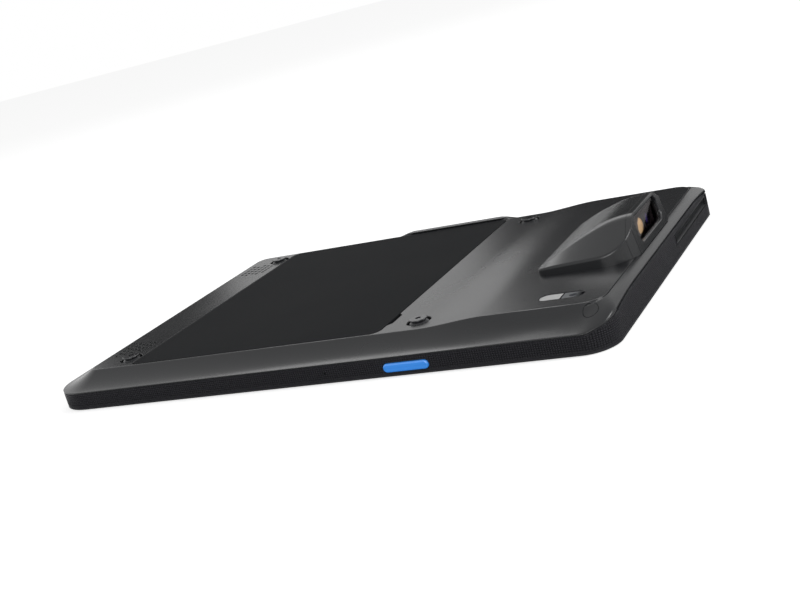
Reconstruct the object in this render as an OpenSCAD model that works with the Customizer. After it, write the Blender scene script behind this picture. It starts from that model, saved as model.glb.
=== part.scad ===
/* [Body] */
// Length, from the bottom end to the scanner end
body_l = 260; // [254:1:270]
// Width across the two long sides
body_w = 178; // [174:1:186]
// Height of the rear plateau over the battery
rear_h = 14.2; // [14:0.2:16]
// Extra height of the plateau that carries the scanner
scanner_rise = 1.8; // [1:0.2:2.4]
// Corner radius at the bottom end
bottom_r = 18; // [15:1:20]
// Corner radius at the scanner end
top_r = 12.5; // [11:0.5:14]

/* [Side frame] */
// Height of the frame along the long sides and the bottom end
frame_h = 7.8; // [7.4:0.2:8.4]
// Extra height of the frame along the scanner end
frame_rise = 5.5; // [5:0.1:5.8]
// Thickness of the frame's wall
frame_wall = 3; // [2.6:0.2:3.4]
// Height of the frame's lower edge above the glass face
frame_lift = 0.3; // [0.2:0.1:0.5]

/* [Front] */
// Thickness of the cover glass
glass_t = 1.1; // [0.9:0.1:1.3]
// Width of the frame lip that shows round the glass
glass_inset = 1; // [0.8:0.1:1.6]
// Width of the dark border beside the display at each end
border_end = 16; // [15:0.5:22]
// Width of the dark border beside the display along each long side
border_side = 15; // [14:0.5:19]
// Display panel thickness
panel_t = 2.2; // [1.8:0.1:2.4]
// Thickness of the chassis plate behind the display
chassis_t = 1.2; // [1:0.1:1.4]

/* [Rear housing] */
// Width of the sloping shoulder along the long sides
shoulder_side = 11.5; // [11:0.1:12]
// Width of the shoulder at the bottom end
shoulder_bottom = 17; // [15:0.5:19]
// Width of the shoulder at the scanner end
shoulder_top = 4.8; // [4.4:0.1:5.4]
// Thickness of the housing's rear wall
rear_wall = 2; // [1.8:0.1:2.2]
// Height of the housing's upright rim above the frame
rim_h = 0.5; // [0.3:0.1:0.8]
// Radius of the four wells round the strap studs
well_r = 5; // [4.8:0.1:5.1]
// Depth of the strap stud wells
well_depth = 1.8; // [1.5:0.1:2]
// Height of the key guard above the plateau
guard_h = 1.3; // [1:0.1:1.8]
// Length of the key guard
guard_l = 57; // [50:1:60]

/* [Battery pack] */
// Distance from the bottom end to the battery cover
cover_start = 40; // [39.5:0.5:42]
// Distance from the battery cover to the scanner end
cover_end = 97; // [97:0.5:104]
// Strip of plateau beside the battery cover
cover_strip = 0.9; // [0.9:0.1:3]
// Thickness of the battery cover
cover_t = 1.3; // [1:0.1:1.5]
// Gap round the battery cover
cover_gap = 0.3; // [0.2:0.05:0.4]
// Wall of the battery case
case_wall = 0.8; // [0.6:0.1:1.2]
// Height that the pack lifts to come out of its bay
pack_lift = 20; // [12:1:40]

/* [Strap studs] */
// Radius of a stud's head
stud_head_r = 3.25; // [3:0.05:3.5]
// Height of a stud's head above the battery plateau
stud_proud = 1.3; // [1:0.1:1.6]
// Radius of a stud's neck
stud_neck_r = 2.3; // [2:0.1:2.5]
// Radius of a stud's flared skirt
stud_skirt_r = 4.4; // [4:0.1:4.6]
// Radius of a stud's screw shank
stud_shank_r = 1.5; // [1.2:0.1:1.7]

/* [Scanner] */
// Length of the scanner hood along the body
hood_l = 42.8; // [41:0.2:45]
// Width of the scanner hood at its foot
hood_w = 67; // [64:1:68]
// Height of the hood's top above the scanner plateau
hood_h = 14.8; // [14.6:0.1:15.6]
// Width of the hood's top facet at the front
hood_top_w = 32; // [31:1:36]
// Wall of the hood
hood_wall = 1.7; // [1.5:0.1:1.9]
// Place of the hood's middle across the body
hood_y = -2.5; // [-4:0.5:0]
// Backward tilt of the scanner's front face
front_tilt = 10; // [9:1:11]
// Thickness of the bezel that frames the window
bezel_t = 2.4; // [2.2:0.1:2.8]
// Width of the scanner window's opening
window_w = 35; // [33:0.5:35]
// Height of the scanner window's opening
window_h = 10.2; // [9:0.2:10.4]

/* [Keys and openings] */
// Length of the scan button
scan_button_l = 19.5; // [16:0.5:21]
// Height of the scan button
scan_button_h = 3.7; // [3.3:0.1:3.9]
// Distance of a key's face from the side frame
key_proud = 0.5; // [0.3:0.1:0.8]
// Clearance round every key
key_gap = 0.2; // [0.15:0.01:0.25]
// Travel of a key
key_travel = 0.5; // [0.3:0.1:0.6]
// Length of the power key
power_l = 11; // [9:0.5:12]
// Length of the volume rocker
volume_l = 26; // [22:0.5:28]
// Height of the power key and the volume rocker
side_key_h = 3; // [2.6:0.1:3.4]
// Tilt of the volume rocker each way, in degrees
volume_tilt = 1.2; // [0.8:0.1:1.4]
// Length of the door over the ports
door_l = 61; // [58:0.5:62]
// Height of the door over the ports
door_h = 4.2; // [4:0.1:4.4]
// Thickness of the door over the ports
door_t = 1.7; // [1.5:0.1:1.8]
// Radius of the door's pin
door_pin_r = 0.4; // [0.3:0.05:0.45]
// Radius of one speaker hole
speaker_hole_r = 0.85; // [0.6:0.05:1]
// Length of the camera recess
camera_l = 18; // [16:0.5:20]
// Width of the camera recess
camera_w = 7; // [6:0.2:8]

/* [Hidden] */
$fn = 48;

// Ends and sides of the body, with the origin under its middle
x_top = body_l / 2;
x_bottom = -body_l / 2;
y_side = body_w / 2;

// Display, inside the dark border
panel_l = body_l - 2 * border_end;
panel_w = body_w - 2 * border_side;

// Clearances between pieces that are assembled and do not move
fit = 0.1;
// Overshoot of a cut past the face that it opens
cut = 1;

// The plateau's edge, which the shoulder falls away from
crease_x0 = x_bottom + shoulder_bottom;
crease_x1 = x_top - shoulder_top;
crease_y = y_side - shoulder_side;
crease_r0 = 5;
crease_r1 = 9;
scanner_h = rear_h + scanner_rise;

// Battery bay
cover_x0 = x_bottom + cover_start;
cover_x1 = x_top - cover_end;
cover_y = crease_y - cover_strip;
cover_r = 4;
ledge = 2;
case_x0 = cover_x0 + ledge;
case_x1 = cover_x1 - ledge;
case_y = cover_y - ledge;
bay_wall = 1.6;
plate_z = glass_t + panel_t;
floor_z = plate_z + chassis_t;
case_z0 = floor_z + 0.6;
case_z1 = rear_h - cover_t;
ledge_z = case_z1 - 0.05;
notch_l = 14;
notch_y = -(cover_y - 15);

// Ramp between the battery plateau and the scanner plateau
ramp_x0 = cover_x1 + 17;
ramp_l = 29;
ramp_steps = 6;

// The parting surface climbs across the scanner end's corners
part_start = (body_l - body_w) / 2 - 10;
part_run = 50;
part_steps = 10;

// Strap studs
stud_x = [cover_x0 - cover_gap - well_r - 0.3, cover_x1 + 14.5];
stud_y = crease_y - 9.8;
well_z = rear_h - well_depth;
stud_top = rear_h + stud_proud;
stud_head_t = 0.9;
stud_skirt_t = 0.8;
stud_hex_r = 1.3;
stud_hex_depth = 0.4;
stud_foot = floor_z + 1.2;
boss_r = 3.7;

// Scanner
hood_x1 = x_top - 3.2;
hood_x0 = hood_x1 - hood_l;
hood_corner_r = 14;
hood_tail = 7;
hood_ridge_w = 31;
hood_edge_z = 2.6;
hood_foot = 0.4;
front_z = scanner_h + 2.5;
window_z = scanner_h + 3 + window_h / 2;
bracket_t = 0.6;
engine_w = 28;
engine_l = 11;
engine_h = 10.6;
engine_x1 = hood_x1 - 3.9;
engine_z0 = scanner_h + bracket_t;
lens_z = engine_z0 + 6.1;
lens_pitch = 5.6;
lens_r = 2.7;
lamp_lens_r = 3.5;
lens_seat = 3;
hood_boss_x = hood_x0 + 12.4;
hood_boss_y = 14;
opening_x0 = hood_boss_x + 2.6;
opening_x1 = hood_x1 - 5;
opening_w = 50;

// Keys in the side frame
key_z = 3.85;
flange = 0.7;
flange_t = 0.8;
scan_button_x = stud_x[1] + 0.7;
guard_x1 = cover_x1;
guard_x0 = guard_x1 - guard_l;
power_x = guard_x1 - 10.5;
volume_x = power_x - 27.5;
stem_gap = 0.1;
key_slack = 0.1;
switch_w = 6;
switch_t = 2.6;
switch_stem = frame_wall + key_slack + flange_t + key_travel + stem_gap;
switch_back = switch_stem + 0.8 + switch_t;
volume_switch_x = 8;
rocker_slack = (volume_l / 2 + flange) * sin(volume_tilt);

// Ports at the scanner end
door_z0 = 6.2;
door_end = 14;
door_y0 = y_side - door_end - door_l;
door_gap = 0.2;
door_barrel_r = door_t / 2;
door_notch = 4;
usb_y = door_y0 + 12;
jack_y = usb_y + 12;
cards_y = jack_y + 19;
port_z = door_z0 + door_h / 2;

// Board and what stands on it
board_x0 = cover_x1 + bay_wall + 2.4;
board_x1 = x_top - 26;
board_y0 = 6.7 - stud_y;
board_y1 = stud_y - 7.7;
board_z = floor_z + 1.5;
board_t = 1;
shield_h = 2.2;
shield_w = (board_y1 - board_y0 - 29) / 2;
shield_x = [board_x0 + 10, board_x1 - 19];
coil_y = (board_y1 - board_y0 - 17) / 4;

// Flat cables and the small board that carries the ports
flex_t = 0.25;
flex_w = 24;
flex_y = board_y0 + 21;
port_board_t = 0.8;
port_board_x0 = x_top - 18;

front_camera_y = 5;

// Aerials at the bottom end
antenna_y = y_side - 47;

// Speakers beside the two bottom studs
speaker_x = stud_x[0] - 6.4;
speaker_y = stud_y - 13.8;
hole_shift = 1.9;
speaker_step = 3.15;
speaker_rows = 5;
speaker_z1 = rear_h - rear_wall - 0.4;

// Camera and flash in the scanner plateau
camera_x = x_top - 23.6;
camera_y = -(y_side - 24);
camera_depth = 0.9;
mic_hole_r = 0.5;
mic_x = 12.6;
mic_l = 4;
mic_back = frame_wall + 1.5;
plug_x = x_top - 8.6;
plug_y = y_side - 9.5;
plug_r = 2.9;
plug_t = 0.7;

function smooth(s) = s <= 0 ? 0 : s >= 1 ? 1 : s * s * (3 - 2 * s);
function plateau(x) = rear_h + scanner_rise * smooth((x - ramp_x0) / ramp_l);
function climb(s) = s <= 0 ? 0 : s >= 1 ? frame_rise : frame_rise * sin(90 * s);
function parting(x, y) = frame_h + climb((x - abs(y) - part_start) / part_run);

// Outline of the body, drawn in by an inset
module outline(inset) {
    xb = x_bottom + bottom_r;
    xt = x_top - top_r;
    for (side = [-1, 1]) {
        translate([xb, side * (y_side - bottom_r)]) circle(r = bottom_r - inset);
        translate([xt, side * (y_side - top_r)]) circle(r = top_r - inset);
    }
    translate([xb, inset - y_side]) square([xt - xb, body_w - 2 * inset]);
    translate([x_bottom + inset, bottom_r - y_side])
        square([bottom_r, body_w - 2 * bottom_r]);
    translate([xt, top_r - y_side]) square([top_r - inset, body_w - 2 * top_r]);
}

// A box from one corner to the other
module block(a, b) {
    translate(a) cube(b - a);
}

// A rectangle with round corners, from its lower left to its upper right corner
module rounded(a, b, r) {
    translate([a[0] + r, a[1]]) square([b[0] - a[0] - 2 * r, b[1] - a[1]]);
    translate([a[0], a[1] + r]) square([b[0] - a[0], b[1] - a[1] - 2 * r]);
    for (x = [a[0] + r, b[0] - r], y = [a[1] + r, b[1] - r])
        translate([x, y]) circle(r = r);
}

// A bar with round ends along X, its face turned to the side sign
module pill(l, h, t) {
    rotate([90, 0, 0]) linear_extrude(height = t, center = true)
        rounded([-l / 2, -h / 2], [l / 2, h / 2], h / 2 - 0.01);
}

// Everything under the parting surface between frame and housing
module under_parting() {
    far = 2 * body_l;
    diagonal = sqrt(2);
    rise = [for (i = [0:part_steps])
        [(part_start + part_run * i / part_steps) / diagonal,
            frame_h + climb(i / part_steps)]];
    profile = concat([[-far, -far], [-far, frame_h]], rise,
        [[far, frame_h + frame_rise], [far, -far]]);
    for (side = [-1, 1])
        intersection() {
            mirror([0, side > 0 ? 1 : 0, 0]) rotate([0, 0, 45]) rotate([90, 0, 0])
                linear_extrude(height = 2 * far, center = true) polygon(profile);
            block([-far, side > 0 ? 0 : -far, -cut], [far, side > 0 ? far : 0, far]);
        }
}

// Housing shape: rings from the rim up the hollow shoulder to the plateau's edge
function corner(cx, cy, r, a) = [cx + r * cos(a), cy + r * sin(a)];
function near_half() = concat(
    [for (a = [180:15:270])
        [corner(x_bottom + bottom_r, bottom_r - y_side, bottom_r, a),
            corner(crease_x0 + crease_r0, crease_r0 - crease_y, crease_r0, a)]],
    [for (i = [0:ramp_steps])
        let (x = ramp_x0 + ramp_l * i / ramp_steps) [[x, -y_side], [x, -crease_y]]],
    [for (a = [270:15:360])
        [corner(x_top - top_r, top_r - y_side, top_r, a),
            corner(crease_x1 - crease_r1, crease_r1 - crease_y, crease_r1, a)]],
    [for (i = [1:4])
        let (y = top_r - y_side + i * part_run / 7,
            k = (crease_y - crease_r1) / (y_side - top_r))
            [[x_top, y], [crease_x1, y * k]]]);

module housing_form() {
    near = near_half();
    half = len(near);
    loop = concat(near, [for (i = [half - 1:-1:0])
        [for (p = near[i]) [p[0], -p[1]]]]);
    n = len(loop);
    levels = [0, 0.2, 0.4, 0.6, 0.8, 1];
    flat = half - 5;
    foot = [for (p = loop) [p[0][0], p[0][1], frame_h - 2]];
    rings = [for (t = levels, p = loop)
        let (o = p[0], c = p[1], z0 = parting(o[0], o[1]) + rim_h, z1 = plateau(c[0]))
            [o[0] + (c[0] - o[0]) * t, o[1] + (c[1] - o[1]) * t,
                z0 + (z1 - z0) * pow(t, shoulder_power(o[0], c[0]))]];
    last = len(levels) * n;
    polyhedron(concat(foot, rings), concat(
        [[for (i = [0:n - 1]) i]],
        [for (k = [0:len(levels) - 1], i = [0:n - 1])
            let (j = (i + 1) % n) [k * n + i, (k + 1) * n + i, (k + 1) * n + j, k * n + j]],
        [for (i = [0:flat - 2])
            [last + i, last + n - 1 - i, last + n - 2 - i, last + i + 1]],
        [concat([last + flat - 1], [for (i = [n - flat:-1:flat]) last + i])]));
}

// How hollow the shoulder is: more beside the ramp, and domed round the scanner end
function shoulder_power(rim_x, crease_x) =
    let (dome = smooth((rim_x - 117.5) / 9), ramp = smooth((crease_x - 55) / 50))
    1.6 + 0.9 * ramp * (1 - dome) - 1.1 * dome;

// Hood shape: sections across the body from its tail to the front, drawn in by t
function hood_edge(x) =
    let (f = max(0, x - (hood_x1 - hood_corner_r)), g = max(0, hood_x0 + hood_tail - x))
    hood_w / 2 - hood_corner_r + sqrt(pow(hood_corner_r, 2) - pow(f, 2))
        - hood_w / 2 * (1 - pow(1 - pow(min(0.999, g / hood_tail), 3), 1 / 3));
function hood_s(x) = min(1, (x - hood_x0) / hood_l);
function hood_ridge(x) = hood_top_w / 2 + (hood_ridge_w - hood_top_w / 2)
    * pow(1 - hood_s(x), 2);
function hood_top(x) = scanner_h + hood_foot
    + (hood_h - hood_foot) * (1 - pow(1 - hood_s(x), 1.9));
function hood_brow(x) = let (low = scanner_h + hood_edge_z + 2 * hood_s(x),
        top = hood_top(x), r = hood_ridge(x), e = hood_edge(x),
        corner = x > hood_x0 + 2 * hood_tail
            ? top - (top - low) * (e - r) / (hood_w / 2 - r) : low)
    min(corner, scanner_h + (top - scanner_h) * 0.92);
function hood_lean(x) = tan(front_tilt) * smooth((x - hood_x1 + 22.8) / 15);

module hood_form(t, foot) {
    fronts = [for (a = [0:15:90])
        hood_x1 - hood_corner_r + (hood_corner_r - 0.001) * sin(a)];
    xs = concat([for (s = [0.02, 0.1, 0.25, 0.5, 0.75]) hood_x0 + hood_tail * s],
        [for (i = [0:5]) hood_x0 + hood_tail
            + (hood_l - hood_tail - hood_corner_r) * i / 6], fronts, [x_top]);
    points = [for (x = xs)
        let (q = min(x, hood_x1 - 0.001), e = max(1, hood_edge(q) - t),
            r = max(0.5, min(hood_ridge(q), hood_edge(q) - 0.4) - t),
            zt = max(hood_top(q) - t, foot + 0.2),
            zb = min(max(hood_brow(q) - t / 2, foot + 0.1), zt - 0.05))
            for (p = [[-e, foot], [-e, zb], [-r, zt], [r, zt], [e, zb], [e, foot]])
                [x - hood_lean(x) * (p[1] - front_z), hood_y + p[0], p[1]]];
    n = len(xs);
    polyhedron(points, concat(
        [[for (i = [5:-1:0]) i], [for (i = [0:5]) (n - 1) * 6 + i]],
        [for (k = [0:n - 2], i = [0:5])
            let (j = (i + 1) % 6) [k * 6 + i, k * 6 + j, (k + 1) * 6 + j, (k + 1) * 6 + i]]));
}

// Space in front of a plane parallel to the scanner's face, back by a depth
module ahead_of_face(depth) {
    translate([hood_x1 - depth / cos(front_tilt), hood_y, front_z])
        rotate([0, -front_tilt, 0]) translate([0, -hood_w, -hood_w])
            cube([hood_w, 2 * hood_w, 2 * hood_w]);
}

// Window outline in the plane of the scanner's face, grown by a margin
module window_outline(grow) {
    w = window_w / 2 + grow;
    h = window_h / 2 + grow;
    chamfer = 2.4;
    polygon([[-w, chamfer - h], [chamfer - w, -h], [w - chamfer, -h], [w, chamfer - h],
        [w, h - chamfer], [w - chamfer, h], [chamfer - w, h], [-w, h - chamfer]]);
}

// The window's outline pushed through from one depth behind the face to another
module window_cut(grow, from, to) {
    translate([hood_x1 - tan(front_tilt) * (window_z - front_z), hood_y, window_z])
        rotate([0, -front_tilt, 0]) translate([-to, 0, 0]) rotate([90, 0, 90])
            linear_extrude(height = to - from) window_outline(grow);
}

module front_glass() {
    color("#101012") linear_extrude(height = glass_t) outline(glass_inset);
}

module display_panel() {
    color("#2b2e33") block([-panel_l / 2, -panel_w / 2, glass_t],
        [panel_l / 2, panel_w / 2, glass_t + panel_t]);
}

// Flat cable from the panel's edge, up through the chassis plate and on to the board
module display_flex() {
    x0 = panel_l / 2 - 6;
    x1 = panel_l / 2 + 2;
    z1 = board_z + board_t + flex_t;
    y0 = flex_y - flex_w / 2;
    y1 = flex_y + flex_w / 2;
    color("#b5722a") {
        block([x0, y0, plate_z], [x1, y1, plate_z + flex_t]);
        block([x1 - flex_t, y0, plate_z], [x1, y1, z1]);
        block([board_x1 - 6, y0, z1 - flex_t], [x1, y1, z1]);
    }
}

module side_frame() {
    color("#1d1e20") difference() {
        intersection() {
            translate([0, 0, frame_lift]) linear_extrude(height = scanner_h)
                outline(0);
            under_parting();
        }
        linear_extrude(height = glass_t + fit) outline(glass_inset - 0.15);
        linear_extrude(height = scanner_h + cut) outline(frame_wall);
        translate([scan_button_x, -y_side, key_z])
            pill(scan_button_l + 2 * key_gap, scan_button_h + 2 * key_gap, 3 * frame_wall);
        translate([power_x, y_side, key_z])
            pill(power_l + 2 * key_gap, side_key_h + 2 * key_gap, 3 * frame_wall);
        translate([volume_x, y_side, key_z])
            pill(volume_l + 2 * key_gap, side_key_h + 2 * key_gap, 3 * frame_wall);
        translate([mic_x, -y_side, key_z + 0.5]) rotate([90, 0, 0])
            cylinder(r = mic_hole_r, h = 3 * frame_wall, center = true);
        port_recess();
    }
}

// Recess for the door, its pin holes and the mouths of the ports
module port_recess() {
    d = door_t + door_gap;
    block([x_top - d, door_y0 - door_gap, door_z0 - door_gap],
        [x_top + cut, door_y0 + door_l + door_notch, door_z0 + door_h + door_gap]);
    translate([x_top - door_barrel_r, door_y0 + door_barrel_r, door_z0 - cut])
        cylinder(r = door_pin_r, h = door_h + 2 * cut);
    translate([x_top - d, usb_y, port_z]) rotate([0, 0, 90]) pill(9.1, 3.3, 4);
    translate([x_top, jack_y, port_z]) rotate([0, 90, 0])
        cylinder(r = 1.8, h = 12, center = true);
    for (z = [-1.1, 1.1])
        block([x_top - 2 * frame_wall, cards_y - 7, port_z + z - 0.5],
            [x_top, cards_y + 7, port_z + z + 0.5]);
}

// Chassis plate with its standoffs, stud bosses and stiffening ribs
module mid_frame() {
    rib_h = 1.2;
    color("#8c8f93") difference() {
        union() {
            translate([0, 0, plate_z]) linear_extrude(height = chassis_t)
                outline(frame_wall + fit);
            for (x = stud_x, side = [-1, 1])
                translate([x, side * stud_y, plate_z])
                    cylinder(r = boss_r, h = well_z - rear_wall - plate_z);
            for (p = board_holes())
                translate([p[0], p[1], plate_z])
                    cylinder(r = 2.2, h = board_z - plate_z);
            for (side = [-1, 1])
                translate([plug_x, side * plug_y, plate_z])
                    cylinder(r = 2.4, h = parting(plug_x, plug_y) - 0.8 - plate_z);
            for (y = [usb_y - 3, cards_y + 7])
                translate([port_board_x0 + 3, y, plate_z])
                    cylinder(r = 1.5, h = port_z - 2.1 - port_board_t - plate_z);
            block([x_bottom + 12, -crease_y, floor_z - 0.1],
                [x_bottom + 13.5, crease_y, floor_z + rib_h]);
        }
        for (x = stud_x, side = [-1, 1])
            translate([x, side * stud_y, stud_foot - 0.4])
                cylinder(r = stud_shank_r + fit, h = rear_h);
        for (side = [-1, 1])
            translate([plug_x, side * plug_y, floor_z])
                cylinder(r = 0.8 + fit, h = rear_h);
        for (p = board_holes())
            translate([p[0], p[1], plate_z + 0.4])
                cylinder(r = 0.8 + fit, h = rear_h);
        block([panel_l / 2 - 7, flex_y - flex_w / 2 - 2, plate_z - cut],
            [panel_l / 2 + 4, flex_y + flex_w / 2 + 2, rear_h]);
        translate([x_top - 8, front_camera_y, plate_z - cut]) cylinder(r = 3.4, h = rear_h);
        edge_notch(scan_button_x, -1, scan_button_l / 2 + flange + key_gap, switch_stem + fit);
        edge_notch(scan_button_x, -1, switch_w / 2 + fit, switch_back);
        edge_notch(power_x, 1, power_l / 2 + flange + key_gap, switch_stem + fit);
        edge_notch(power_x, 1, switch_w / 2 + fit, switch_back);
        edge_notch(volume_x, 1, volume_l / 2 + flange + key_gap, switch_stem + fit);
        for (dx = [-volume_switch_x, volume_switch_x])
            edge_notch(volume_x + dx, 1, switch_w / 2 + fit, switch_back);
        edge_notch(mic_x, -1, mic_l / 2 + fit, mic_back);
    }
}

// Notch in the chassis plate's edge for a key's flange, a switch or a microphone
module edge_notch(x, side, half, depth) {
    translate([x, side * y_side, 0]) mirror([0, side > 0 ? 1 : 0, 0])
        block([-half, -cut, 0], [half, depth, rear_h]);
}

function board_holes() = [for (x = [board_x0 + 4, board_x1 - 4],
    y = [board_y0 + 4, board_y1 - 4]) [x, y]];
function plug_seat() = parting(plug_x, plug_y) + 0.7;

// Camera that looks out through the glass beside the display
module front_camera() {
    color("#141518") translate([x_top - 8, front_camera_y, glass_t]) {
        cylinder(r = 3.1, h = 3.4);
        translate([-2, -2, 3.4]) cube([4, 4, 0.8]);
    }
}

module main_board() {
    color("#1f4d33") difference() {
        block([board_x0, board_y0, board_z], [board_x1, board_y1, board_z + board_t]);
        for (p = board_holes())
            translate([p[0], p[1], board_z - cut]) cylinder(r = 0.8 + fit, h = 3);
    }
}

// Two tinned cans over the processor and the radio
module board_shields() {
    wall = 0.3;
    z = board_z + board_t;
    for (y = [board_y0 + 4, board_y1 - 13 - shield_w])
        color("#c3c6c8") difference() {
            block([shield_x[0], y, z], [shield_x[1], y + shield_w, z + shield_h]);
            block([shield_x[0] + wall, y + wall, z - cut],
                [shield_x[1] - wall, y + shield_w - wall, z + shield_h - wall]);
        }
}

module heat_spreader() {
    z = board_z + board_t + shield_h;
    color("#3a3b3d") block([shield_x[0] - 1, board_y0 + 3, z],
        [shield_x[1] + 1, board_y1 - 12, z + 0.4]);
}

module board_screws() {
    for (p = board_holes())
        color("#b9bcc0") translate([p[0], p[1], 0]) difference() {
            union() {
                translate([0, 0, board_z + board_t]) cylinder(r = 1.6, h = 0.9);
                translate([0, 0, plate_z + 0.6])
                    cylinder(r = 0.8, h = board_z + board_t - plate_z - 0.6);
            }
            translate([0, 0, board_z + board_t + 0.4]) cylinder(r = 0.7, h = 1, $fn = 6);
        }
}

// Sprung contacts under the pack's right end
module battery_connector() {
    x = case_x1 - 9;
    color("#26282b") block([x - 2.5, -16, floor_z], [x + 2.5, 16, case_z0 - 0.25]);
    color("#c9a24a") for (i = [-3:3])
        block([x - 1.4, i * 4 - 0.8, case_z0 - 0.25], [x + 1.4, i * 4 + 0.8, case_z0 - 0.05]);
}

module vibration_motor() {
    color("#9da1a5") translate([x_bottom + 26, -12, floor_z]) cylinder(r = 5, h = 3.2);
    color("#c9a24a") block([x_bottom + 30, -13.5, floor_z], [x_bottom + 37, -10.5, floor_z + 0.4]);
}

// Two printed aerials that stand against the inside of the bottom end
module antennas() {
    for (side = [-1, 1])
        color("#c08a3e") block([x_bottom + frame_wall + 0.6, side * antenna_y - 20, floor_z],
            [x_bottom + frame_wall + 1, side * antenna_y + 20, frame_h - 0.4]);
}

// Flat coil under the rear plateau for contactless cards
module nfc_coil() {
    z = rear_h - rear_wall - 0.3;
    x0 = board_x0 + 8;
    color("#b87333") difference() {
        translate([0, 0, z]) linear_extrude(height = 0.3)
            rounded([x0, -coil_y], [x0 + 36, coil_y], 4);
        translate([0, 0, z - cut]) linear_extrude(height = 3)
            rounded([x0 + 4, 4 - coil_y], [x0 + 32, coil_y - 4], 2);
    }
}

// One microphone behind the side frame and one under the rear plateau
module microphones() {
    color("#c9cbce") {
        block([mic_x - mic_l / 2, frame_wall - y_side + 0.2, key_z - 0.6],
            [mic_x + mic_l / 2, mic_back - y_side, key_z + 2.2]);
        translate([camera_x - 15, camera_y, scanner_h - rear_wall - 1.3])
            translate([-2, -1.5, 0]) cube([4, 3, 1.2]);
    }
}

module speakers() {
    for (side = [-1, 1])
        color("#17181a") difference() {
            block([speaker_x - 9, side * speaker_y - 7, floor_z],
                [speaker_x + 9, side * speaker_y + 7, speaker_z1]);
            block([speaker_x - 7.6, side * speaker_y - 5.6, speaker_z1 - 1.4],
                [speaker_x + 7.6, side * speaker_y + 5.6, speaker_z1 + cut]);
        }
}

module speaker_meshes() {
    for (side = [-1, 1])
        color("#0c0c0d") block([speaker_x - 9, side * speaker_y - 7, speaker_z1],
            [speaker_x + 9, side * speaker_y + 7, rear_h - rear_wall]);
}

// A key's pill with the flange that keeps it in the frame, facing +Y
module side_key(l, h, slack) {
    face = key_proud + frame_wall + slack + flange_t;
    translate([0, key_proud - face / 2, 0]) pill(l, h, face);
    translate([0, -frame_wall - slack - flange_t / 2, 0])
        pill(l + 2 * flange, h + 2 * flange, flange_t);
}

module scan_button() {
    color("#2f80ea") translate([scan_button_x, -y_side, key_z]) mirror([0, 1, 0])
        side_key(scan_button_l, scan_button_h, key_slack);
}

// A low switch behind a key, its plunger just short of the flange, facing +Y
module switch_body() {
    translate([-switch_w / 2, -switch_back, -1.8]) cube([switch_w, switch_t, 3.6]);
    translate([0, -switch_stem, 0]) rotate([90, 0, 0]) cylinder(r = 1, h = 1);
}

module scan_switch() {
    color("#cfd1d3") translate([scan_button_x, -y_side, key_z]) mirror([0, 1, 0])
        switch_body();
}

module power_button() {
    color("#232427") translate([power_x, y_side, key_z]) side_key(power_l, side_key_h, key_slack);
}

module power_switch() {
    color("#cfd1d3") translate([power_x, y_side, key_z]) switch_body();
}

module volume_key() {
    color("#232427") translate([volume_x, y_side, key_z])
        side_key(volume_l, side_key_h, key_slack + rocker_slack);
}

module volume_switches() {
    for (dx = [-volume_switch_x, volume_switch_x])
        color("#cfd1d3") translate([volume_x + dx, y_side, key_z]) switch_body();
}

// Receptacles stand behind the frame's end wall, each with its own mouth
module usb_receptacle() {
    x = x_top - frame_wall - fit;
    color("#b8bbbe") difference() {
        block([x - 8, usb_y - 5, port_z - 2.1], [x, usb_y + 5, port_z + 2.1]);
        translate([x, usb_y, port_z]) rotate([0, 0, 90]) pill(8.4, 2.6, 12);
    }
    color("#2b2d30") block([x - 7.5, usb_y - 3, port_z - 0.35], [x - 1, usb_y + 3, port_z + 0.35]);
}

module headphone_jack() {
    x = x_top - frame_wall - fit;
    color("#1a1b1d") difference() {
        block([x - 12, jack_y - 3.2, port_z - 2.1], [x, jack_y + 3.2, port_z + 2.1]);
        translate([x - 11, jack_y, port_z]) rotate([0, 90, 0]) cylinder(r = 1.75, h = 12);
    }
}

module port_board() {
    z = port_z - 2.1 - port_board_t;
    color("#1f4d33") block([port_board_x0, usb_y - 8, z],
        [x_top - frame_wall - 0.6, cards_y + 10, z + port_board_t]);
}

module card_sockets() {
    x = x_top - frame_wall - fit;
    color("#a9acb0") difference() {
        block([x - 14, cards_y - 8, port_z - 2.1], [x, cards_y + 8, port_z + 2.1]);
        for (z = [-1.1, 1.1])
            block([x - 13, cards_y - 7, port_z + z - 0.5], [x + cut, cards_y + 7, port_z + z + 0.5]);
    }
}

// Flap over the ports, hinged at its near end on an upright pin
module port_door() {
    color("#26272a") difference() {
        union() {
            block([x_top - door_t, door_y0 + door_barrel_r, door_z0],
                [x_top, door_y0 + door_l, door_z0 + door_h]);
            translate([x_top - door_barrel_r, door_y0 + door_barrel_r, door_z0])
                cylinder(r = door_barrel_r, h = door_h);
        }
        translate([x_top - door_barrel_r, door_y0 + door_barrel_r, door_z0 - cut])
            cylinder(r = door_pin_r + 0.05, h = door_h + 2 * cut);
    }
}

module port_door_pin() {
    color("#c4c7ca") translate([x_top - door_barrel_r, door_y0 + door_barrel_r,
        door_z0 - cut]) cylinder(r = door_pin_r, h = door_h + 2 * cut);
}

// Guard over the keys on the far side, with a slope at each end
module key_guard() {
    top = rear_h + guard_h;
    low = frame_h + 0.6;
    intersection() {
        rotate([90, 0, 90]) linear_extrude(height = 3 * guard_l, center = true)
            polygon([[crease_y - 2, low], [crease_y - 0.4, rear_h], [crease_y, top],
                [crease_y + 1.8, top], [crease_y + 5.4, low + 2.4], [crease_y + 6.4, low]]);
        rotate([90, 0, 0]) linear_extrude(height = 4 * y_side, center = true)
            polygon([[guard_x0 - 7, low], [guard_x0 - 4, rear_h], [guard_x0 + 4, top],
                [guard_x1 - 4, top], [guard_x1 + 4, rear_h], [guard_x1 + 7, low]]);
    }
}

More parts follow.
